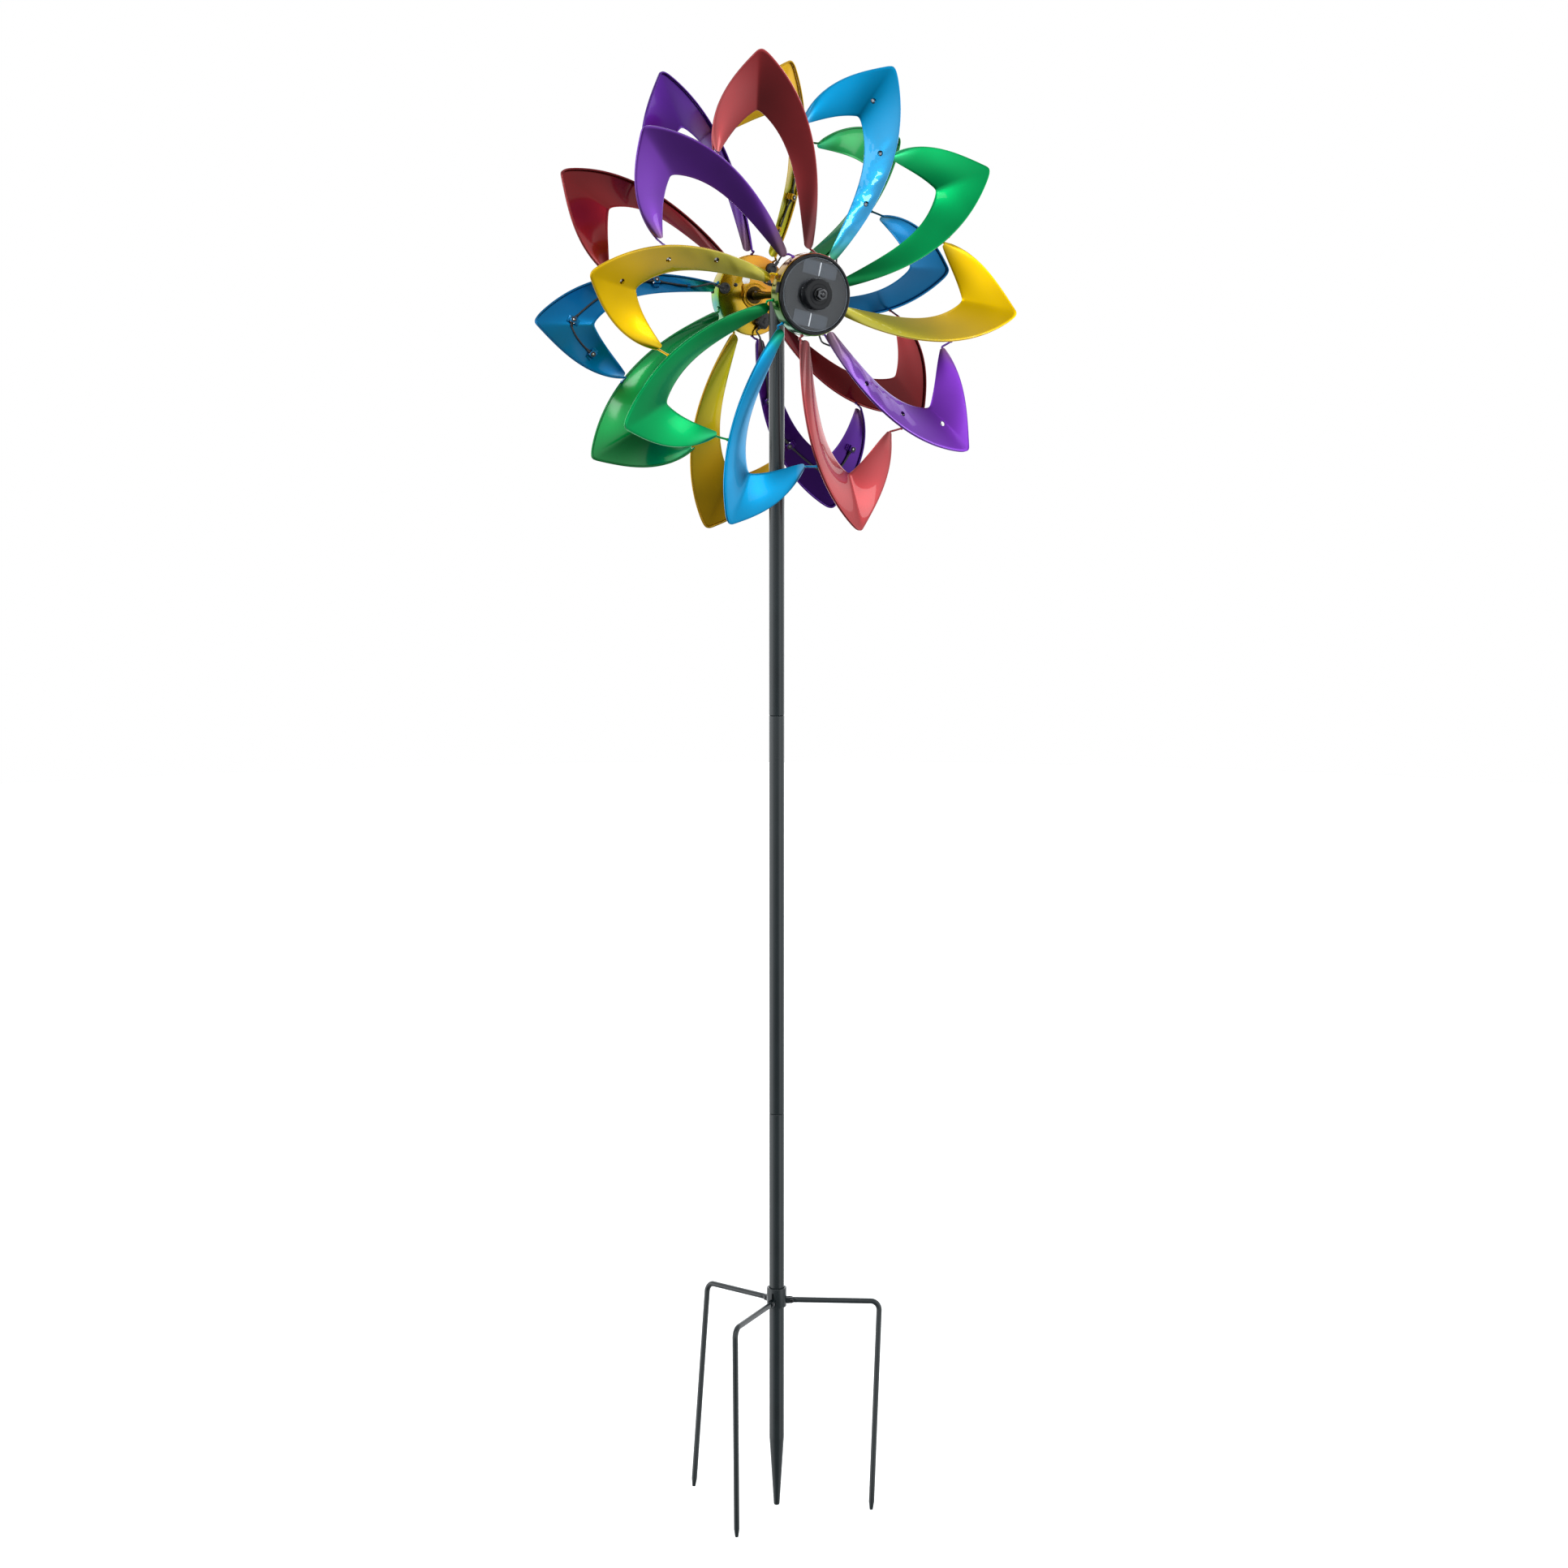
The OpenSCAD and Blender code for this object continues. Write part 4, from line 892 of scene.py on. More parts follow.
class WINDMILL_OT_lamps(bpy.types.Operator):
    """Makes the lamp brackets, straps, lamps and cables behind the lit blades"""

    bl_idname = "windmill.lamps"
    bl_label = "Lamps"

    def execute(self, context):
        radius = in_mm("lamps").cable_diameter / 2
        palette = sorted(set(COLOURS["front"]))
        for side in SIDES:
            rotor = side + "_rotor"
            brackets, lamps, cables = [], [], []
            used = LAMPS[: LAMP_COUNT[side]]
            last = used[-1][0]
            for k, exit_at in zip(LIT[side], cable_exits(side)):
                turn = PHASE[side] + STEP * k
                paint = palette.index(COLOURS[side][k])
                own = [at_lamp(p, lamp, LAMP_LIFT) for lamp in used for p in bracket_parts()]
                own += [strap_parts(u) for u in (0.82, 0.47)]
                brackets += on_rotor([{**p, "material": paint} for p in own], side, turn)
                shells = [at_lamp(p, lamp, LAMP_LIFT) for lamp in used for p in lamp_parts()]
                lamps += on_rotor(shells, side, turn)
                angle, reach, w, aim = exit_at
                line = cable_path((angle - turn, reach, w, aim - turn), last)
                shell = [tube(line, radius, 14)]
                for lamp in used:
                    shell += boot_parts(line, lamp, lamp is used[-1])
                cables += on_rotor(shell, side, turn)
            piece(side + "_brackets", brackets, [f"{n}_rod_{side}" for n in palette], rotor,
                  [side + "_lamp_brackets"])
            piece(side + "_lenses", lamps, ["lens", "soft_plastic", "bearing_steel"], rotor,
                  [side + "_lamps"])
            piece(side + "_wiring", cables, ["cable"], rotor, [side + "_lamp_cables"])
        return {"FINISHED"}


# ---- axle ----


class WINDMILL_OT_axle(bpy.types.Operator):
    """Makes the axle with its shoulders and threaded ends, the washers and the nuts"""

    bl_idname = "windmill.axle"
    bl_label = "Axle"

    def execute(self, context):
        h, w = in_mm("hubs"), layers()
        end = w["nut"] + 7.0

        def half(distance):
            """Radius and distance from the pole's axis, from the middle to one end."""
            s = distance + w["tube_back"] - 0.2
            far = distance + end
            thread = np.arange(w["nut"] + 6.6 + distance, far - 1.7, 0.3)
            ridge = 3.85 + 0.15 * np.cos(np.arange(len(thread)) * np.pi)
            return np.concatenate([
                [(4.5, 0), (4.5, s - 33), (6.3, s - 10.4), (6.5, s - 10), (6.5, s - 0.5), (6.1, s), (4.0, s),
                 (4.0, distance + w["nut"] + 6.4)], pack(ridge, thread),
                [(3.6, far - 1.2), (2.6, far - 0.3), (1.2, far), (AXIS, far)],
            ])

        front, rear = half(h.front_distance), half(h.rear_distance)
        profile = np.concatenate([rear[:0:-1] * [1, -1], front[1:]])
        lift = in_mm("stand").axle_height
        shaft = moved(revolve(profile, 64), lambda p: on_axis(p) + [0, 0, lift])
        piece("axle_rod", [shaft], ["black_steel"], "stand", ["axle"])
        inner_face = w["tube_front"] + 0.2
        washer = hoop([(4.1, inner_face), (6, inner_face), (6, w["washer"]), (8, w["washer"]), (8, w["nut"]),
                       (4.1, w["nut"])], 0.3, 4, 64)
        t = circle(96)
        flats = 6.5 / np.cos((t + np.pi / 6) % (np.pi / 3) - np.pi / 6)
        rows = np.array([(0, 0.4), (0.35, 0), (5.6, 0), (6.3, 0.5), (6.45, 1.1)])
        bore = np.array([(6.45, 4.05), (0, 4.05)])
        skin = np.minimum(flats[None, :], 7.3 - rows[:, 1:]) - 0.25 * rows[:, 1:]
        R = np.concatenate([skin, bore[:, 1:] + 0 * t])
        H = np.concatenate([rows[:, :1], bore[:, :1]]) + w["nut"] + 0 * t
        nut = grid(pack(R * np.cos(t), R * np.sin(t), H), ring=True)
        for name, part in (("washers", washer), ("nuts", nut)):
            parts = on_hub([part], "front", 10) + on_hub([part], "rear", 22)
            piece("axle_end_" + name, parts, ["black_steel"], "stand", ["axle_" + name])
        return {"FINISHED"}


# ---- stand ----

# Height of the prongs' hinges above the collar's lower rim, and their distance from the pole's axis.
HINGE_RISE = 7.5
HINGE_RADIUS = 19.5
# Azimuth, tilt and lean of each prong.
PRONGS = {"left": (104.0, -4.0, 9.0), "front": (218.5, 1.5, 1.0), "right": (-21.5, -3.5, -9.0)}


def pole_section(z0, z1, radius, tip=None):
    """One tube section with softened ends, as radius and height."""
    e = 0.5
    top = [(radius, z1 - e), (radius - e, z1), (AXIS, z1)]
    if tip is None:
        return rounded([(AXIS, z0), (radius - e, z0), (radius, z0 + e)] + top, 0.4)
    depth, blunt = tip
    end = z0 - depth
    point = [(AXIS, end), (blunt - 0.8, end), (blunt, end + 1.2), (radius - 0.15, z0 - 0.3), (radius, z0 + 1)]
    return rounded(point + top, 0.8, 5)


class WINDMILL_OT_pole(bpy.types.Operator):
    """Makes the three pole sections with the spike, and the head that carries the axle"""

    bl_idname = "windmill.pole"
    bl_label = "Pole"

    def execute(self, context):
        s = in_mm("stand")
        r, top = s.pole_diameter / 2, s.axle_height
        low, high = s.lower_seam, s.upper_seam
        shoulder, under = s.shoulder_depth, s.arm_height - HINGE_RISE
        bead = hoop([(r - 0.6, under - 2), (r, under - 2), (r + 1.2, under - 1), (r + 1.2, under),
                     (r - 0.6, under)], 0.5)
        for name, profile, more in (
            ("top", pole_section(high + 0.15, top - 8, r), []),
            ("middle", pole_section(low + 0.15, high - 0.15, r), []),
            ("spike", pole_section(-shoulder, low - 0.15, r, (s.spike_length, 4)), [bead]),
        ):
            piece("pole_tube_" + name, [revolve(profile, 96)] + more, ["powder_coat"], "stand",
                  ["pole_" + name])
        head = rounded([(AXIS, top - 9), (7, top - 9), (7, top + 6.8), (5.8, top + 8), (AXIS, top + 8)], 0.6)
        piece("pole_cap", [revolve(head, 64)], ["powder_coat"], "stand", ["pole_head"])
        return {"FINISHED"}


def at_hinge(p, azimuth):
    """Puts points drawn along +x at a hinge of the collar."""
    a = math.radians(azimuth)
    lift = in_mm("stand").arm_height
    x, y = p[..., 0] + HINGE_RADIUS, p[..., 1]
    c, s = math.cos(a), math.sin(a)
    return pack(x * c - y * s, x * s + y * c, p[..., 2] + lift)


def spun(p, angle, i, j):
    """Turns points by angle in the plane of their axes i and j."""
    c, q = math.cos(math.radians(angle)), math.sin(math.radians(angle))
    out = p.copy()
    out[:, i], out[:, j] = p[:, i] * c - p[:, j] * q, p[:, i] * q + p[:, j] * c
    return out


def prong_parts(azimuth, tilt, lean):
    """A rod with a flattened eye, a bend of 12 mm and a leg with a blunt point. The eye's half width
    grows from 2 mm to the rod's radius, and its half height follows the circle round the pin."""
    s = in_mm("stand")
    r, reach, leg = s.prong_diameter / 2, s.prong_reach, s.prong_length
    bend = 12.0
    arm = reach - HINGE_RADIUS - bend
    t = np.radians(np.linspace(0, 90, 16))
    x, z = np.linspace(9, arm, 8)[:-1], np.linspace(-bend, -leg + 11, 10)[1:]
    z = np.concatenate([z, -leg + np.array([7, 1.0, 0.3, 0])])
    path = np.concatenate([
        pack(x, 0, 0),
        pack(arm + bend * np.sin(t), 0, bend * np.cos(t) - bend),
        pack(arm + bend, 0, z),
    ])
    radius = np.concatenate([np.full(len(path) - 4, r), [r - 0.6, r - 1.4, r - 1.8, r - 2.6]])
    rod = tube(path, radius, 28, side=(0, 1, 0))
    x = np.concatenate([-r + r * (1 - np.cos(np.linspace(0.05, np.pi / 2, 9))), [2.5, 5, 6.5, 8, 9.2]])
    high = np.where(x < 0, np.sqrt(np.maximum(r * r - x * x, 0.01)), r)[:, None]
    wide = blend(2.0, r, np.clip((x - 4.8) / 4, 0, 1) ** 1.3)[:, None]
    a = circle(28)[None, :]
    soft = blend(0.45, 1.0, np.clip((x - 4.8) / 4, 0, 1))[:, None]
    y, z = wide * power(np.cos(a), soft), high * power(np.sin(a), soft)
    eye = grid(pack(x[:, None], y, z))
    rod = moved(rod, lambda p: spun(p, lean, 1, 2))
    return [moved(part, lambda p: at_hinge(spun(p, tilt, 0, 2), azimuth)) for part in (rod, eye)]


class WINDMILL_OT_prongs(bpy.types.Operator):
    """Makes the loose collar with its ears and pins, and the three prongs"""

    bl_idname = "windmill.prongs"
    bl_label = "Prongs"

    def execute(self, context):
        s = in_mm("stand")
        inner_r = s.pole_diameter / 2 + 0.6
        low = s.arm_height - HINGE_RISE
        high = low + s.collar_height
        ring = hoop([(inner_r, low), (inner_r + 2.6, low), (inner_r + 2.6, high - 0.3), (inner_r + 2.0, high),
                     (inner_r, high)], 0.5)
        collar = piece("collar_ring", [ring], ["powder_coat"], "stand", ["collar"])
        slot = blob((inner_r + 1.3 - HINGE_RADIUS, 0, 8.5), (3, 1.6, 4), None, 24, 0.15)
        carve(collar, [moved(slot, lambda p, a=a: at_hinge(p, a)) for a, _, _ in PRONGS.values()])
        ears, pins = [], []
        t = np.linspace(-np.pi / 2, np.pi / 2, 15)
        ox, oz = np.append(4 * np.cos(t), [-7.4, -7.4])[None], np.append(4 * np.sin(t), [4, -4])[None]
        end = [(AXIS, -5.0), (1.8, -5.0), (2.65, -4.4), (2.65, -3.95), (1.75, -3.95)]
        pin = revolve(rounded(end + [(r, -y) for r, y in end[::-1]], 0.25), 28)
        for azimuth, _, _ in PRONGS.values():
            for sign in (-1, 1):
                y = np.array([2.25, 2.45, 3.65, 3.85])[:, None] * sign
                k = np.array([0.95, 1, 1, 0.95])[:, None]
                ear = grid(pack(ox * k, y, oz * k))
                ears.append(moved(ear, lambda p, a=azimuth: at_hinge(p, a)))
            pins.append(moved(pin, lambda p, a=azimuth: at_hinge(p[:, [0, 2, 1]], a)))
        piece("collar_ears", ears, ["powder_coat"], "stand", [])
        piece("collar_rivets", pins, ["black_steel"], "stand", ["collar_pins"])
        for name, place in PRONGS.items():
            piece(f"{name}_prong_rod", prong_parts(*place), ["powder_coat"], name + "_prong",
                  ["prong_" + name])
        return {"FINISHED"}


# ---- materials ----

MATERIALS = {}


def add(tree, kind, links=None, **settings):
    """Adds a node. links names inputs and the sockets or values that fill them. Settings that name an
    input fill it, stops fill a ramp, and the rest are the node's own properties."""
    made = tree.nodes.new("ShaderNode" + kind)
    stops = settings.pop("stops", None)
    for name, value in settings.items():
        if hasattr(made, name):
            setattr(made, name, value)
        else:
            made.inputs[name.replace("_", " ")].default_value = value
    if stops:
        ramp = made.color_ramp
        for place, tint in stops[1:-1]:
            ramp.elements.new(place).color = (*tint, 1)
        ramp.elements[0].position, ramp.elements[0].color = stops[0][0], (*stops[0][1], 1)
        ramp.elements[-1].position, ramp.elements[-1].color = stops[-1][0], (*stops[-1][1], 1)
    for name, source in (links or {}).items():
        if isinstance(source, bpy.types.NodeSocket):
            tree.links.new(source, made.inputs[name])
        else:
            made.inputs[name].default_value = source
    return made


def maths(tree, operation, *terms):
    """The result of one sum, whose terms are sockets or numbers."""
    return add(tree, "Math", dict(enumerate(terms)), operation=operation).outputs[0]


def spread(tree, value, low, high, start=0.0, full=1.0, kind="LINEAR"):
    """Carries a value from the range start to full on to the range low to high."""
    return add(tree, "MapRange", {"Value": value}, interpolation_type=kind, From_Min=start, From_Max=full,
               To_Min=low, To_Max=high).outputs[0]


def grain(tree, place, size, detail=2.0):
    """Noise whose lumps are size millimetres across."""
    noise = add(tree, "TexNoise", {"Vector": place}, Scale=1000 / size, Detail=detail, Roughness=0.5)
    return noise.outputs["Fac"]


def bump(tree, height, strength, distance, **links):
    """A surface lifted by height times distance, as far as strength lets it show."""
    links = {"Height": height, "Strength": strength, **links}
    return add(tree, "Bump", links, Distance=distance).outputs[0]


def empty_material(name):
    """A new material without nodes, kept under its name."""
    m = MATERIALS[name] = bpy.data.materials.new(name)
    m.use_nodes = True
    m.node_tree.nodes.clear()
    return m.node_tree


def begin(name, **constants):
    """A new material with a shader whose even values are set on the shader itself."""
    tree = empty_material(name)
    shader = add(tree, "BsdfPrincipled", **constants)
    add(tree, "OutputMaterial", {"Surface": shader.outputs[0]})
    return tree, shader, add(tree, "TexCoord").outputs["Object"]


def feed(tree, shader, **sockets):
    """Links sockets to the shader's inputs."""
    for name, socket in sockets.items():
        tree.links.new(socket, shader.inputs[name.replace("_", " ")])


def shade(rgb, k):
    return tuple(min(1.0, c * k) for c in rgb)


def lacquer(name, base, look, on_sheet=True, dents=0.0):
    """Candy lacquer: clear tinted lacquer sprayed over bright sheet, so the metal shines through in the
    lacquer's colour under a soft gloss. Over the root and over the short end the colour turns to a second
    one, given for each colour. look holds the coat's weight and roughness and the metal's range of roughness,
    and for the root and the end the second colour and the places along the blade where it starts and is full."""
    gloss, soft, rough, root, root_from, root_to, end, end_from, end_to = look
    tree, shader, place = begin(name, Metallic=1.0, Coat_Weight=gloss, Coat_Roughness=soft)
    tones = [(0.32, shade(base, 0.85)), (0.68, shade(base, 1.12))]
    tint = add(tree, "ValToRGB", {"Fac": grain(tree, place, 85, 1.0)}, stops=tones).outputs[0]
    if on_sheet:
        on_map = add(tree, "UVMap", uv_map="UVMap").outputs[0]
        along_blade = add(tree, "SeparateXYZ", {"Vector": on_map}).outputs["X"]
        ragged_along = maths(tree, "MULTIPLY_ADD", grain(tree, place, 30), 0.08, along_blade)
        for code, start, full in ((root, root_from, root_to), (end, end_from, end_to)):
            share = spread(tree, ragged_along, 0, 1, start, full, "SMOOTHSTEP")
            links = {"Fac": share, "Color1": tint, "Color2": (*linear(code), 1)}
            tint = add(tree, "MixRGB", links).outputs[0]
    feed(tree, shader, Base_Color=tint, Roughness=spread(tree, grain(tree, place, 30), *rough))
    if not on_sheet:
        return
    # Orange peel of about 1.2 mm over slow waves of about 40 mm.
    peel = bump(tree, grain(tree, place, 1.2, 0.0), 0.02, 0.00005)
    coat = waves = bump(tree, grain(tree, place, 40, 0.0), 0.12, 0.0016, Normal=peel)
    if dents:
        # Shallow dents of about 13 mm. The long limb alone was dented, and its coat lies thicker there.
        limb = spread(tree, along_blade, 0.1, 1.0, 0.5, 0.64, "SMOOTHSTEP")
        depth = maths(tree, "MULTIPLY", limb, dents)
        coat = bump(tree, grain(tree, place, 13, 1.5), depth, 0.0012, Normal=waves)
        feed(tree, shader, Coat_Weight=limb)
    feed(tree, shader, Normal=waves, Coat_Normal=coat)


def drum_finish(name, centre, turn, stops):
    """Rainbow lacquer on the drum: bright metal under gold that runs to red on one side and to green and
    blue on the other, a band of colour for each few centimetres across the hub."""
    tree, shader, place = begin(name, Metallic=1.0, Coat_Weight=0.4, Coat_Roughness=0.05)
    local = add(tree, "Mapping", {"Vector": place}, vector_type="TEXTURE", Location=centre,
                Rotation=(0, math.radians(turn), 0)).outputs[0]
    across_hub = add(tree, "SeparateXYZ", {"Vector": local}).outputs["X"]
    soft = maths(tree, "MULTIPLY_ADD", grain(tree, place, 40), 0.02, across_hub)
    stops = [(at, linear(code)) for at, code in stops]
    hue = add(tree, "ValToRGB", {"Fac": spread(tree, soft, 0, 1, -0.045, 0.065)}, stops=stops).outputs[0]
    rough = spread(tree, grain(tree, place, 20), 0.16, 0.24)
    waves = bump(tree, grain(tree, place, 25, 0.0), 0.1, 0.001)
    feed(tree, shader, Base_Color=hue, Roughness=rough, Normal=waves, Coat_Normal=waves)


def textured(name, low, high, rough, size, depth, blot=18, **constants):
    """A finish that wanders a little between two colours, with a fine grain in its surface: size is the
    grain in millimetres and depth its height."""
    tree, shader, place = begin(name, **constants)
    low, high = (linear(c) if isinstance(c, str) else c for c in (low, high))
    stops = [(0.3, low), (0.7, high)]
    tone = add(tree, "ValToRGB", {"Fac": grain(tree, place, blot)}, stops=stops).outputs[0]
    gloss = spread(tree, grain(tree, place, size * 6), *rough)
    fine = bump(tree, grain(tree, place, size, 3.0), 0.5, depth * MM)
    feed(tree, shader, Base_Color=tone, Roughness=gloss, Normal=fine)


def make_materials():
    f = bpy.context.scene.windmill_finishes
    h, s = bpy.context.scene.windmill_hubs, bpy.context.scene.windmill_stand
    # Weight of the front and rear coat, then the second colour and its reach at the root and at the end.
    looks = {
        "red": (0.8, 0.45, "5a1418", 0.78, 1.0, "9a4444", 0.16, 0.03),
        "blue": (0.16, 0.25, "0c8058", 0.92, 1.04, "5f8fb0", 0.12, 0.02),
        "green": (0.12, 0.55, "00602f", 0.72, 1.0, "2aa86a", 0.2, 0.03),
        "yellow": (0.14, 0.35, "968e10", 0.6, 0.9, "b89a18", 0.24, 0.05),
        "purple": (0.6, 0.35, "503248", 0.88, 1.02, "6a4a60", 0.18, 0.02),
    }
    dents = {"red": 0.1, "blue": 0.55, "green": 0.1, "yellow": 0.3, "purple": 0.1}
    for name, look in looks.items():
        base = tuple(getattr(f, name))
        # The rear rotor's blades show their inner side, with less polish; k darkens their lacquer as painted
        # shade.
        for side, k, gloss, soft, rough in (
            ("front", 1.0, look[0], 0.03, (0.26, 0.34)), ("rear", 0.78, look[1], 0.1, (0.3, 0.38)),
        ):
            base_with_painted_shade = tuple(k * c ** (2 - k) for c in base)
            lacquer(f"{name}_{side}", base_with_painted_shade, (gloss, soft, rough, *look[2:]))
            # The rods, lamp brackets and straps take the blade's lacquer a tenth darker: painted shade.
            lacquer(f"{name}_rod_{side}", shade(base_with_painted_shade, 0.9), (gloss, soft, rough, *look[2:]), False)
        lacquer(f"{name}_dented", base, (0.45, 0.03, (0.26, 0.34), *look[2:]), dents=dents[name])
    axle = s.axle_height
    gold = [(0.0, "146a48"), (0.16, "4f7014"), (0.36, "8f7a0c"), (0.66, "946214"), (0.84, "823c16"),
            (1.0, "7c2c1e")]
    drum_finish("front_drum", (0, -h.front_distance, axle), -52, gold)
    rear = [(0.0, "00888c"), (0.07, "5f9018"), (0.18, "8f8410"), (0.3, "a88812"),
            (0.62, "b88018"), (1.0, "b06418")]
    drum_finish("rear_drum", (0, h.rear_distance, axle), -24, rear)
    # Polyester powder coat, baked: charcoal with a fine orange peel of about 0.6 mm and a satin sheen.
    textured("powder_coat", shade(f.coat, 0.5), shade(f.coat, 0.7), (0.24, 0.28), 0.6, 0.002, 60)
    # Blackened steel, oiled: near-black metal with a soft shine.
    textured("black_steel", "1c1d1f", "2a2c2f", (0.1, 0.16), 0.35, 0.001, 8, Metallic=1.0,
             Coat_Weight=1.0, Coat_Roughness=0.04)
    # Shadowed bottom of a screw recess.
    textured("recess", "060607", "0b0b0c", (0.6, 0.7), 0.3, 0.01, 4)
    # ABS, moulded in a fine spark-eroded texture: dark slate grey with a wide soft highlight.
    textured("housing", shade(f.plastic, 0.9), shade(f.plastic, 1.1), (0.26, 0.34), 0.4, 0.001, 30, IOR=1.3)
    # The moulded ridge round the cells, in a paler grey that paints the highlight along its rounded edge.
    textured("worn_ridge", "59626a", "6b757d", (0.26, 0.34), 0.4, 0.001, 30)
    # Soft PVC of the glands and boots: matt black.
    textured("soft_plastic", "141517", "1e2023", (0.42, 0.55), 0.5, 0.015, 10)
    # PVC cable jacket: black with a narrow gloss line.
    textured("cable", "101113", "18191b", (0.28, 0.38), 0.9, 0.02, 12)
    # Polycrystalline silicon under film: blue-grey with grains of about 3 mm.
    textured("solar_cell", "272d35", "323a44", (0.12, 0.18), 0.8, 0.0005, 3)
    # Tinned bus strip between the cells: plain white to the eye.
    textured("white_strip", "d8dadb", "f0f1f2", (0.3, 0.4), 0.5, 0.004, 6)
    # Coated paper disc.
    textured("paper", "eceded", "f7f7f7", (0.4, 0.5), 0.3, 0.004, 6)
    # Epoxy lens of a lamp: milky clear with a hard shine.
    textured("lens", "8a8f94", "b4b8bc", (0.06, 0.12), 1.0, 0.001, 4, Coat_Weight=1.0)
    # Bearing steel under brown grease.
    textured("greased_steel", "2e2618", "4a3c22", (0.24, 0.34), 0.2, 0.002, 5, Metallic=1.0)
    # Ground and polished steel.
    textured("bearing_steel", "b8babc", "d0d1d2", (0.14, 0.24), 0.2, 0.002, 5, Metallic=1.0)
    # Glass-fibre board with green solder resist.
    textured("board", "0b5a30", "12703c", (0.3, 0.4), 1.2, 0.01, 5)
    # Shrink sleeve of the cell.
    textured("sleeve", "1f7a3a", "2b8f48", (0.2, 0.3), 1.0, 0.01, 20)
    # Acrylic cover: clear sheet seen as a thin gloss over the cells.
    tree = empty_material("clear_cover")
    clear = add(tree, "BsdfTransparent", Color=(0.9, 0.92, 0.94, 1))
    gloss = add(tree, "BsdfGlossy", Color=(1, 1, 1, 1), Roughness=0.02)
    thin = maths(tree, "MULTIPLY", add(tree, "Fresnel", IOR=1.49).outputs[0], 0.45)
    both = add(tree, "MixShader", {0: thin, 1: clear.outputs[0], 2: gloss.outputs[0]})
    add(tree, "OutputMaterial", {"Surface": both.outputs[0]})


class WINDMILL_OT_inner_parts(bpy.types.Operator):
    """Dresses the bearings, boards and batteries, which keep their CAD shapes"""

    bl_idname = "windmill.inner_parts"
    bl_label = "Inner parts"

    def execute(self, context):
        wear = {"bearings": "greased_steel", "circuit_board": "board", "battery": "sleeve"}
        for side in SIDES:
            for node, finish in wear.items():
                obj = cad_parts[f"{side}_{node}"]
                for place in obj.material_slots:
                    place.material = MATERIALS[finish]
        return {"FINISHED"}


# ---- stage ----

# In metres: the floor's distance below the spike's point, and its radius.
FLOOR_GAP = 0.0035
FLOOR_RADIUS = 7
SENSOR_WIDTH = 36


def area_light(name, place, target, size, power, tint=(1, 1, 1)):
    data = bpy.data.lights.new(name, "AREA")
    data.shape, data.size, data.size_y, data.energy, data.color = "RECTANGLE", size[0], size[1], power, tint
    light = bpy.data.objects.new(name, data)
    bpy.context.scene.collection.objects.link(light)
    forward = unit(np.array(target, float) - np.array(place, float))
    right = unit(np.cross(forward, [0.0, 0.0, 1.0] if abs(forward[2]) < 0.95 else [0.0, 1.0, 0.0]))
    up = np.cross(right, forward)
    light.matrix_world = Matrix([
        (right[0], up[0], -forward[0], place[0]), (right[1], up[1], -forward[1], place[1]),
        (right[2], up[2], -forward[2], place[2]), (0, 0, 0, 1),
    ])
    return light


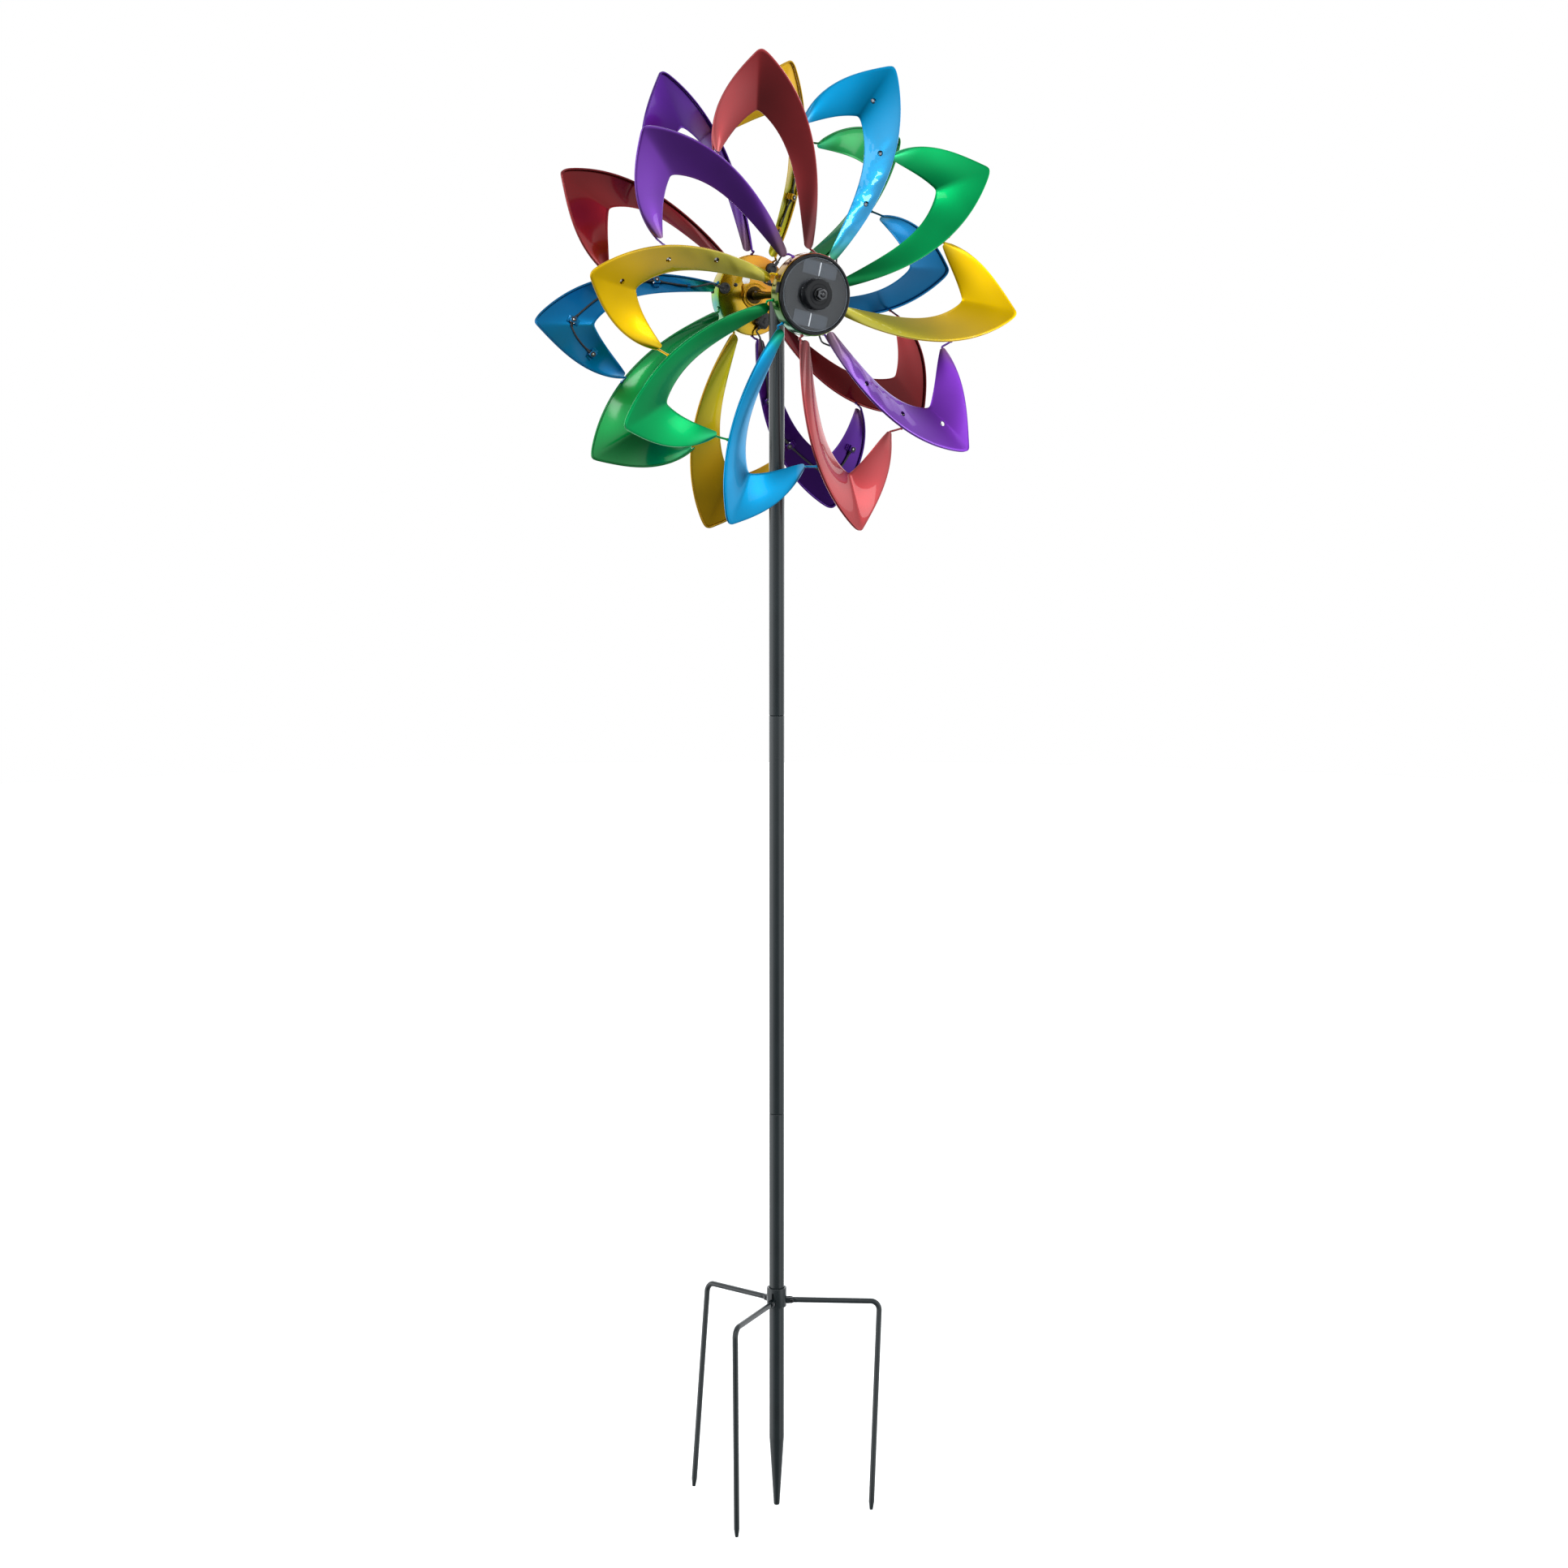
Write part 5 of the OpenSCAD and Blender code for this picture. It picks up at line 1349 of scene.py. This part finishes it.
class WINDMILL_OT_stage(bpy.types.Operator):
    """Makes the pale floor, the soft studio lights and the camera"""

    bl_idname = "windmill.stage"
    bl_label = "Stage"

    def execute(self, context):
        scene, s, stand = context.scene, context.scene.windmill_stage, context.scene.windmill_stand
        camera = bpy.data.objects.new("camera", bpy.data.cameras.new("camera"))
        camera.data.lens, camera.data.sensor_width = s.focal_length, SENSOR_WIDTH
        camera.location = (-1.90996, -3.47969, stand.axle_height - 0.02447)
        camera.rotation_euler = tuple(math.radians(a) for a in (81.2985, -0.0204, -28.8967))
        scene.collection.objects.link(camera)
        scene.camera = camera
        scene.view_settings.view_transform = "Standard"

        ground = -(stand.shoulder_depth + stand.spike_length) - FLOOR_GAP
        t = circle(64)
        rim = pack(FLOOR_RADIUS * np.cos(t), FLOOR_RADIUS * np.sin(t), ground)
        mesh = bpy.data.meshes.new("floor")
        mesh.from_pydata(rim.tolist(), [], [list(range(64))])
        floor = bpy.data.objects.new("floor", mesh)
        scene.collection.objects.link(floor)
        # White paper, lit a little past white so that it has no edge. The blades don't mirror it.
        textured("paper_floor", "f4f4f4", "fafafa", (0.16, 0.2), 2.0, 0.01, 300,
                 Emission_Color=(1, 1, 1, 1), Emission_Strength=0.35)
        mesh.materials.append(MATERIALS["paper_floor"])
        floor.visible_glossy = False

        # The studio round the object: a bright wall at eye level, a dimmer ceiling, and a dark floor
        # towards the camera. The camera itself sees plain white.
        world = bpy.data.worlds.new("studio")
        scene.world = world
        world.use_nodes = True
        tree = world.node_tree
        tree.nodes.clear()
        look = add(tree, "TexCoord").outputs["Generated"]
        dot = lambda aim: add(tree, "VectorMath", {0: look, 1: aim}, operation="DOT_PRODUCT").outputs["Value"]
        # wall = 0.72 + 0.5 exp(-(3.7 z - 0.3)^2)
        height = add(tree, "SeparateXYZ", {"Vector": look}).outputs["Z"]
        above = maths(tree, "MULTIPLY_ADD", height, 3.7, -0.3)
        band = maths(tree, "EXPONENT", maths(tree, "MULTIPLY", maths(tree, "MULTIPLY", above, above), -1.0))
        wall = maths(tree, "MULTIPLY_ADD", band, 0.5, 0.72)
        dark = spread(tree, dot((-0.295, -0.731, -0.616)), 1.0, 0.28, 0.67, 0.914, "SMOOTHSTEP")
        level = maths(tree, "MULTIPLY", wall, dark)
        # Paler walls: where they lie, where they start and are full, and what they add.
        for aim, start, full, more in (
            ((0.469, -0.883, 0.0), 0.848, 0.985, 0.7), ((-0.449, -0.844, 0.292), 0.9, 0.985, 0.3),
            ((0.483, 0.876, 0.0), 0.3, 0.8, 0.9), ((-0.94, 0.34, 0.0), 0.8, 0.97, 1.3),
        ):
            level = maths(tree, "ADD", level, spread(tree, dot(aim), 0.0, more, start, full, "SMOOTHSTEP"))
        lit = add(tree, "Background", {"Strength": level}, Color=(0.96, 0.98, 1, 1))
        seen = add(tree, "Background", Color=(1, 1, 1, 1), Strength=1.0)
        by_camera = add(tree, "LightPath").outputs["Is Camera Ray"]
        both = add(tree, "MixShader", {0: by_camera, 1: lit.outputs[0], 2: seen.outputs[0]})
        add(tree, "OutputWorld", {"Surface": both.outputs[0]})

        hub = (0, 0, 1.3)
        area_light("left_softbox", (-3.0, -2.2, 2.7), hub, (1.7, 2.2), s.key_power)
        area_light("right_softbox", (3.4, -0.4, 1.9), hub, (1.4, 2.6), s.side_power)
        area_light("top_softbox", (0.2, 0.1, 4.4), hub, (2.6, 2.6), s.top_power)
        # Two windows make the white glints in the clear coat.
        area_light("left_window", (-1.45, -3.4, 3.5), hub, (0.8, 1.2), 2 * s.window_power)
        area_light("right_window", (2.66, -2.95, 2.67), hub, (1.2, 1.5), 1.2 * s.window_power)
        return {"FINISHED"}


class WINDMILL_PT_panel(bpy.types.Panel):
    bl_label = "Windmill"
    bl_idname = "WINDMILL_PT_panel"
    bl_space_type = "VIEW_3D"
    bl_region_type = "UI"
    bl_category = "Windmill"

    def draw(self, context):
        for operator in OPERATORS:
            self.layout.operator(operator.bl_idname)
        for name in GROUPS:
            group = getattr(context.scene, name)
            self.layout.separator()
            for key in fields(group):
                self.layout.prop(group, key)


GROUPS = {
    "windmill_stand": StandSizes,
    "windmill_blades": BladeSizes,
    "windmill_hubs": HubSizes,
    "windmill_lamps": LampSizes,
    "windmill_finishes": Finishes,
    "windmill_stage": StageSettings,
}
OPERATORS = [
    WINDMILL_OT_stage,
    WINDMILL_OT_pole,
    WINDMILL_OT_prongs,
    WINDMILL_OT_axle,
    WINDMILL_OT_blades,
    WINDMILL_OT_edge_rods,
    WINDMILL_OT_hubs,
    WINDMILL_OT_solar_units,
    WINDMILL_OT_lamps,
    WINDMILL_OT_inner_parts,
]


def register():
    for item in list(GROUPS.values()) + OPERATORS + [WINDMILL_PT_panel]:
        bpy.utils.register_class(item)
    for name, group in GROUPS.items():
        setattr(bpy.types.Scene, name, PointerProperty(type=group))


def unregister():
    for name in GROUPS:
        delattr(bpy.types.Scene, name)
    for item in [WINDMILL_PT_panel] + OPERATORS[::-1] + list(GROUPS.values()):
        bpy.utils.unregister_class(item)


def main():
    register()
    make_materials()
    for operator in OPERATORS:
        group, name = operator.bl_idname.split(".")
        getattr(getattr(bpy.ops, group), name)()


if __name__ == "__main__":
    main()
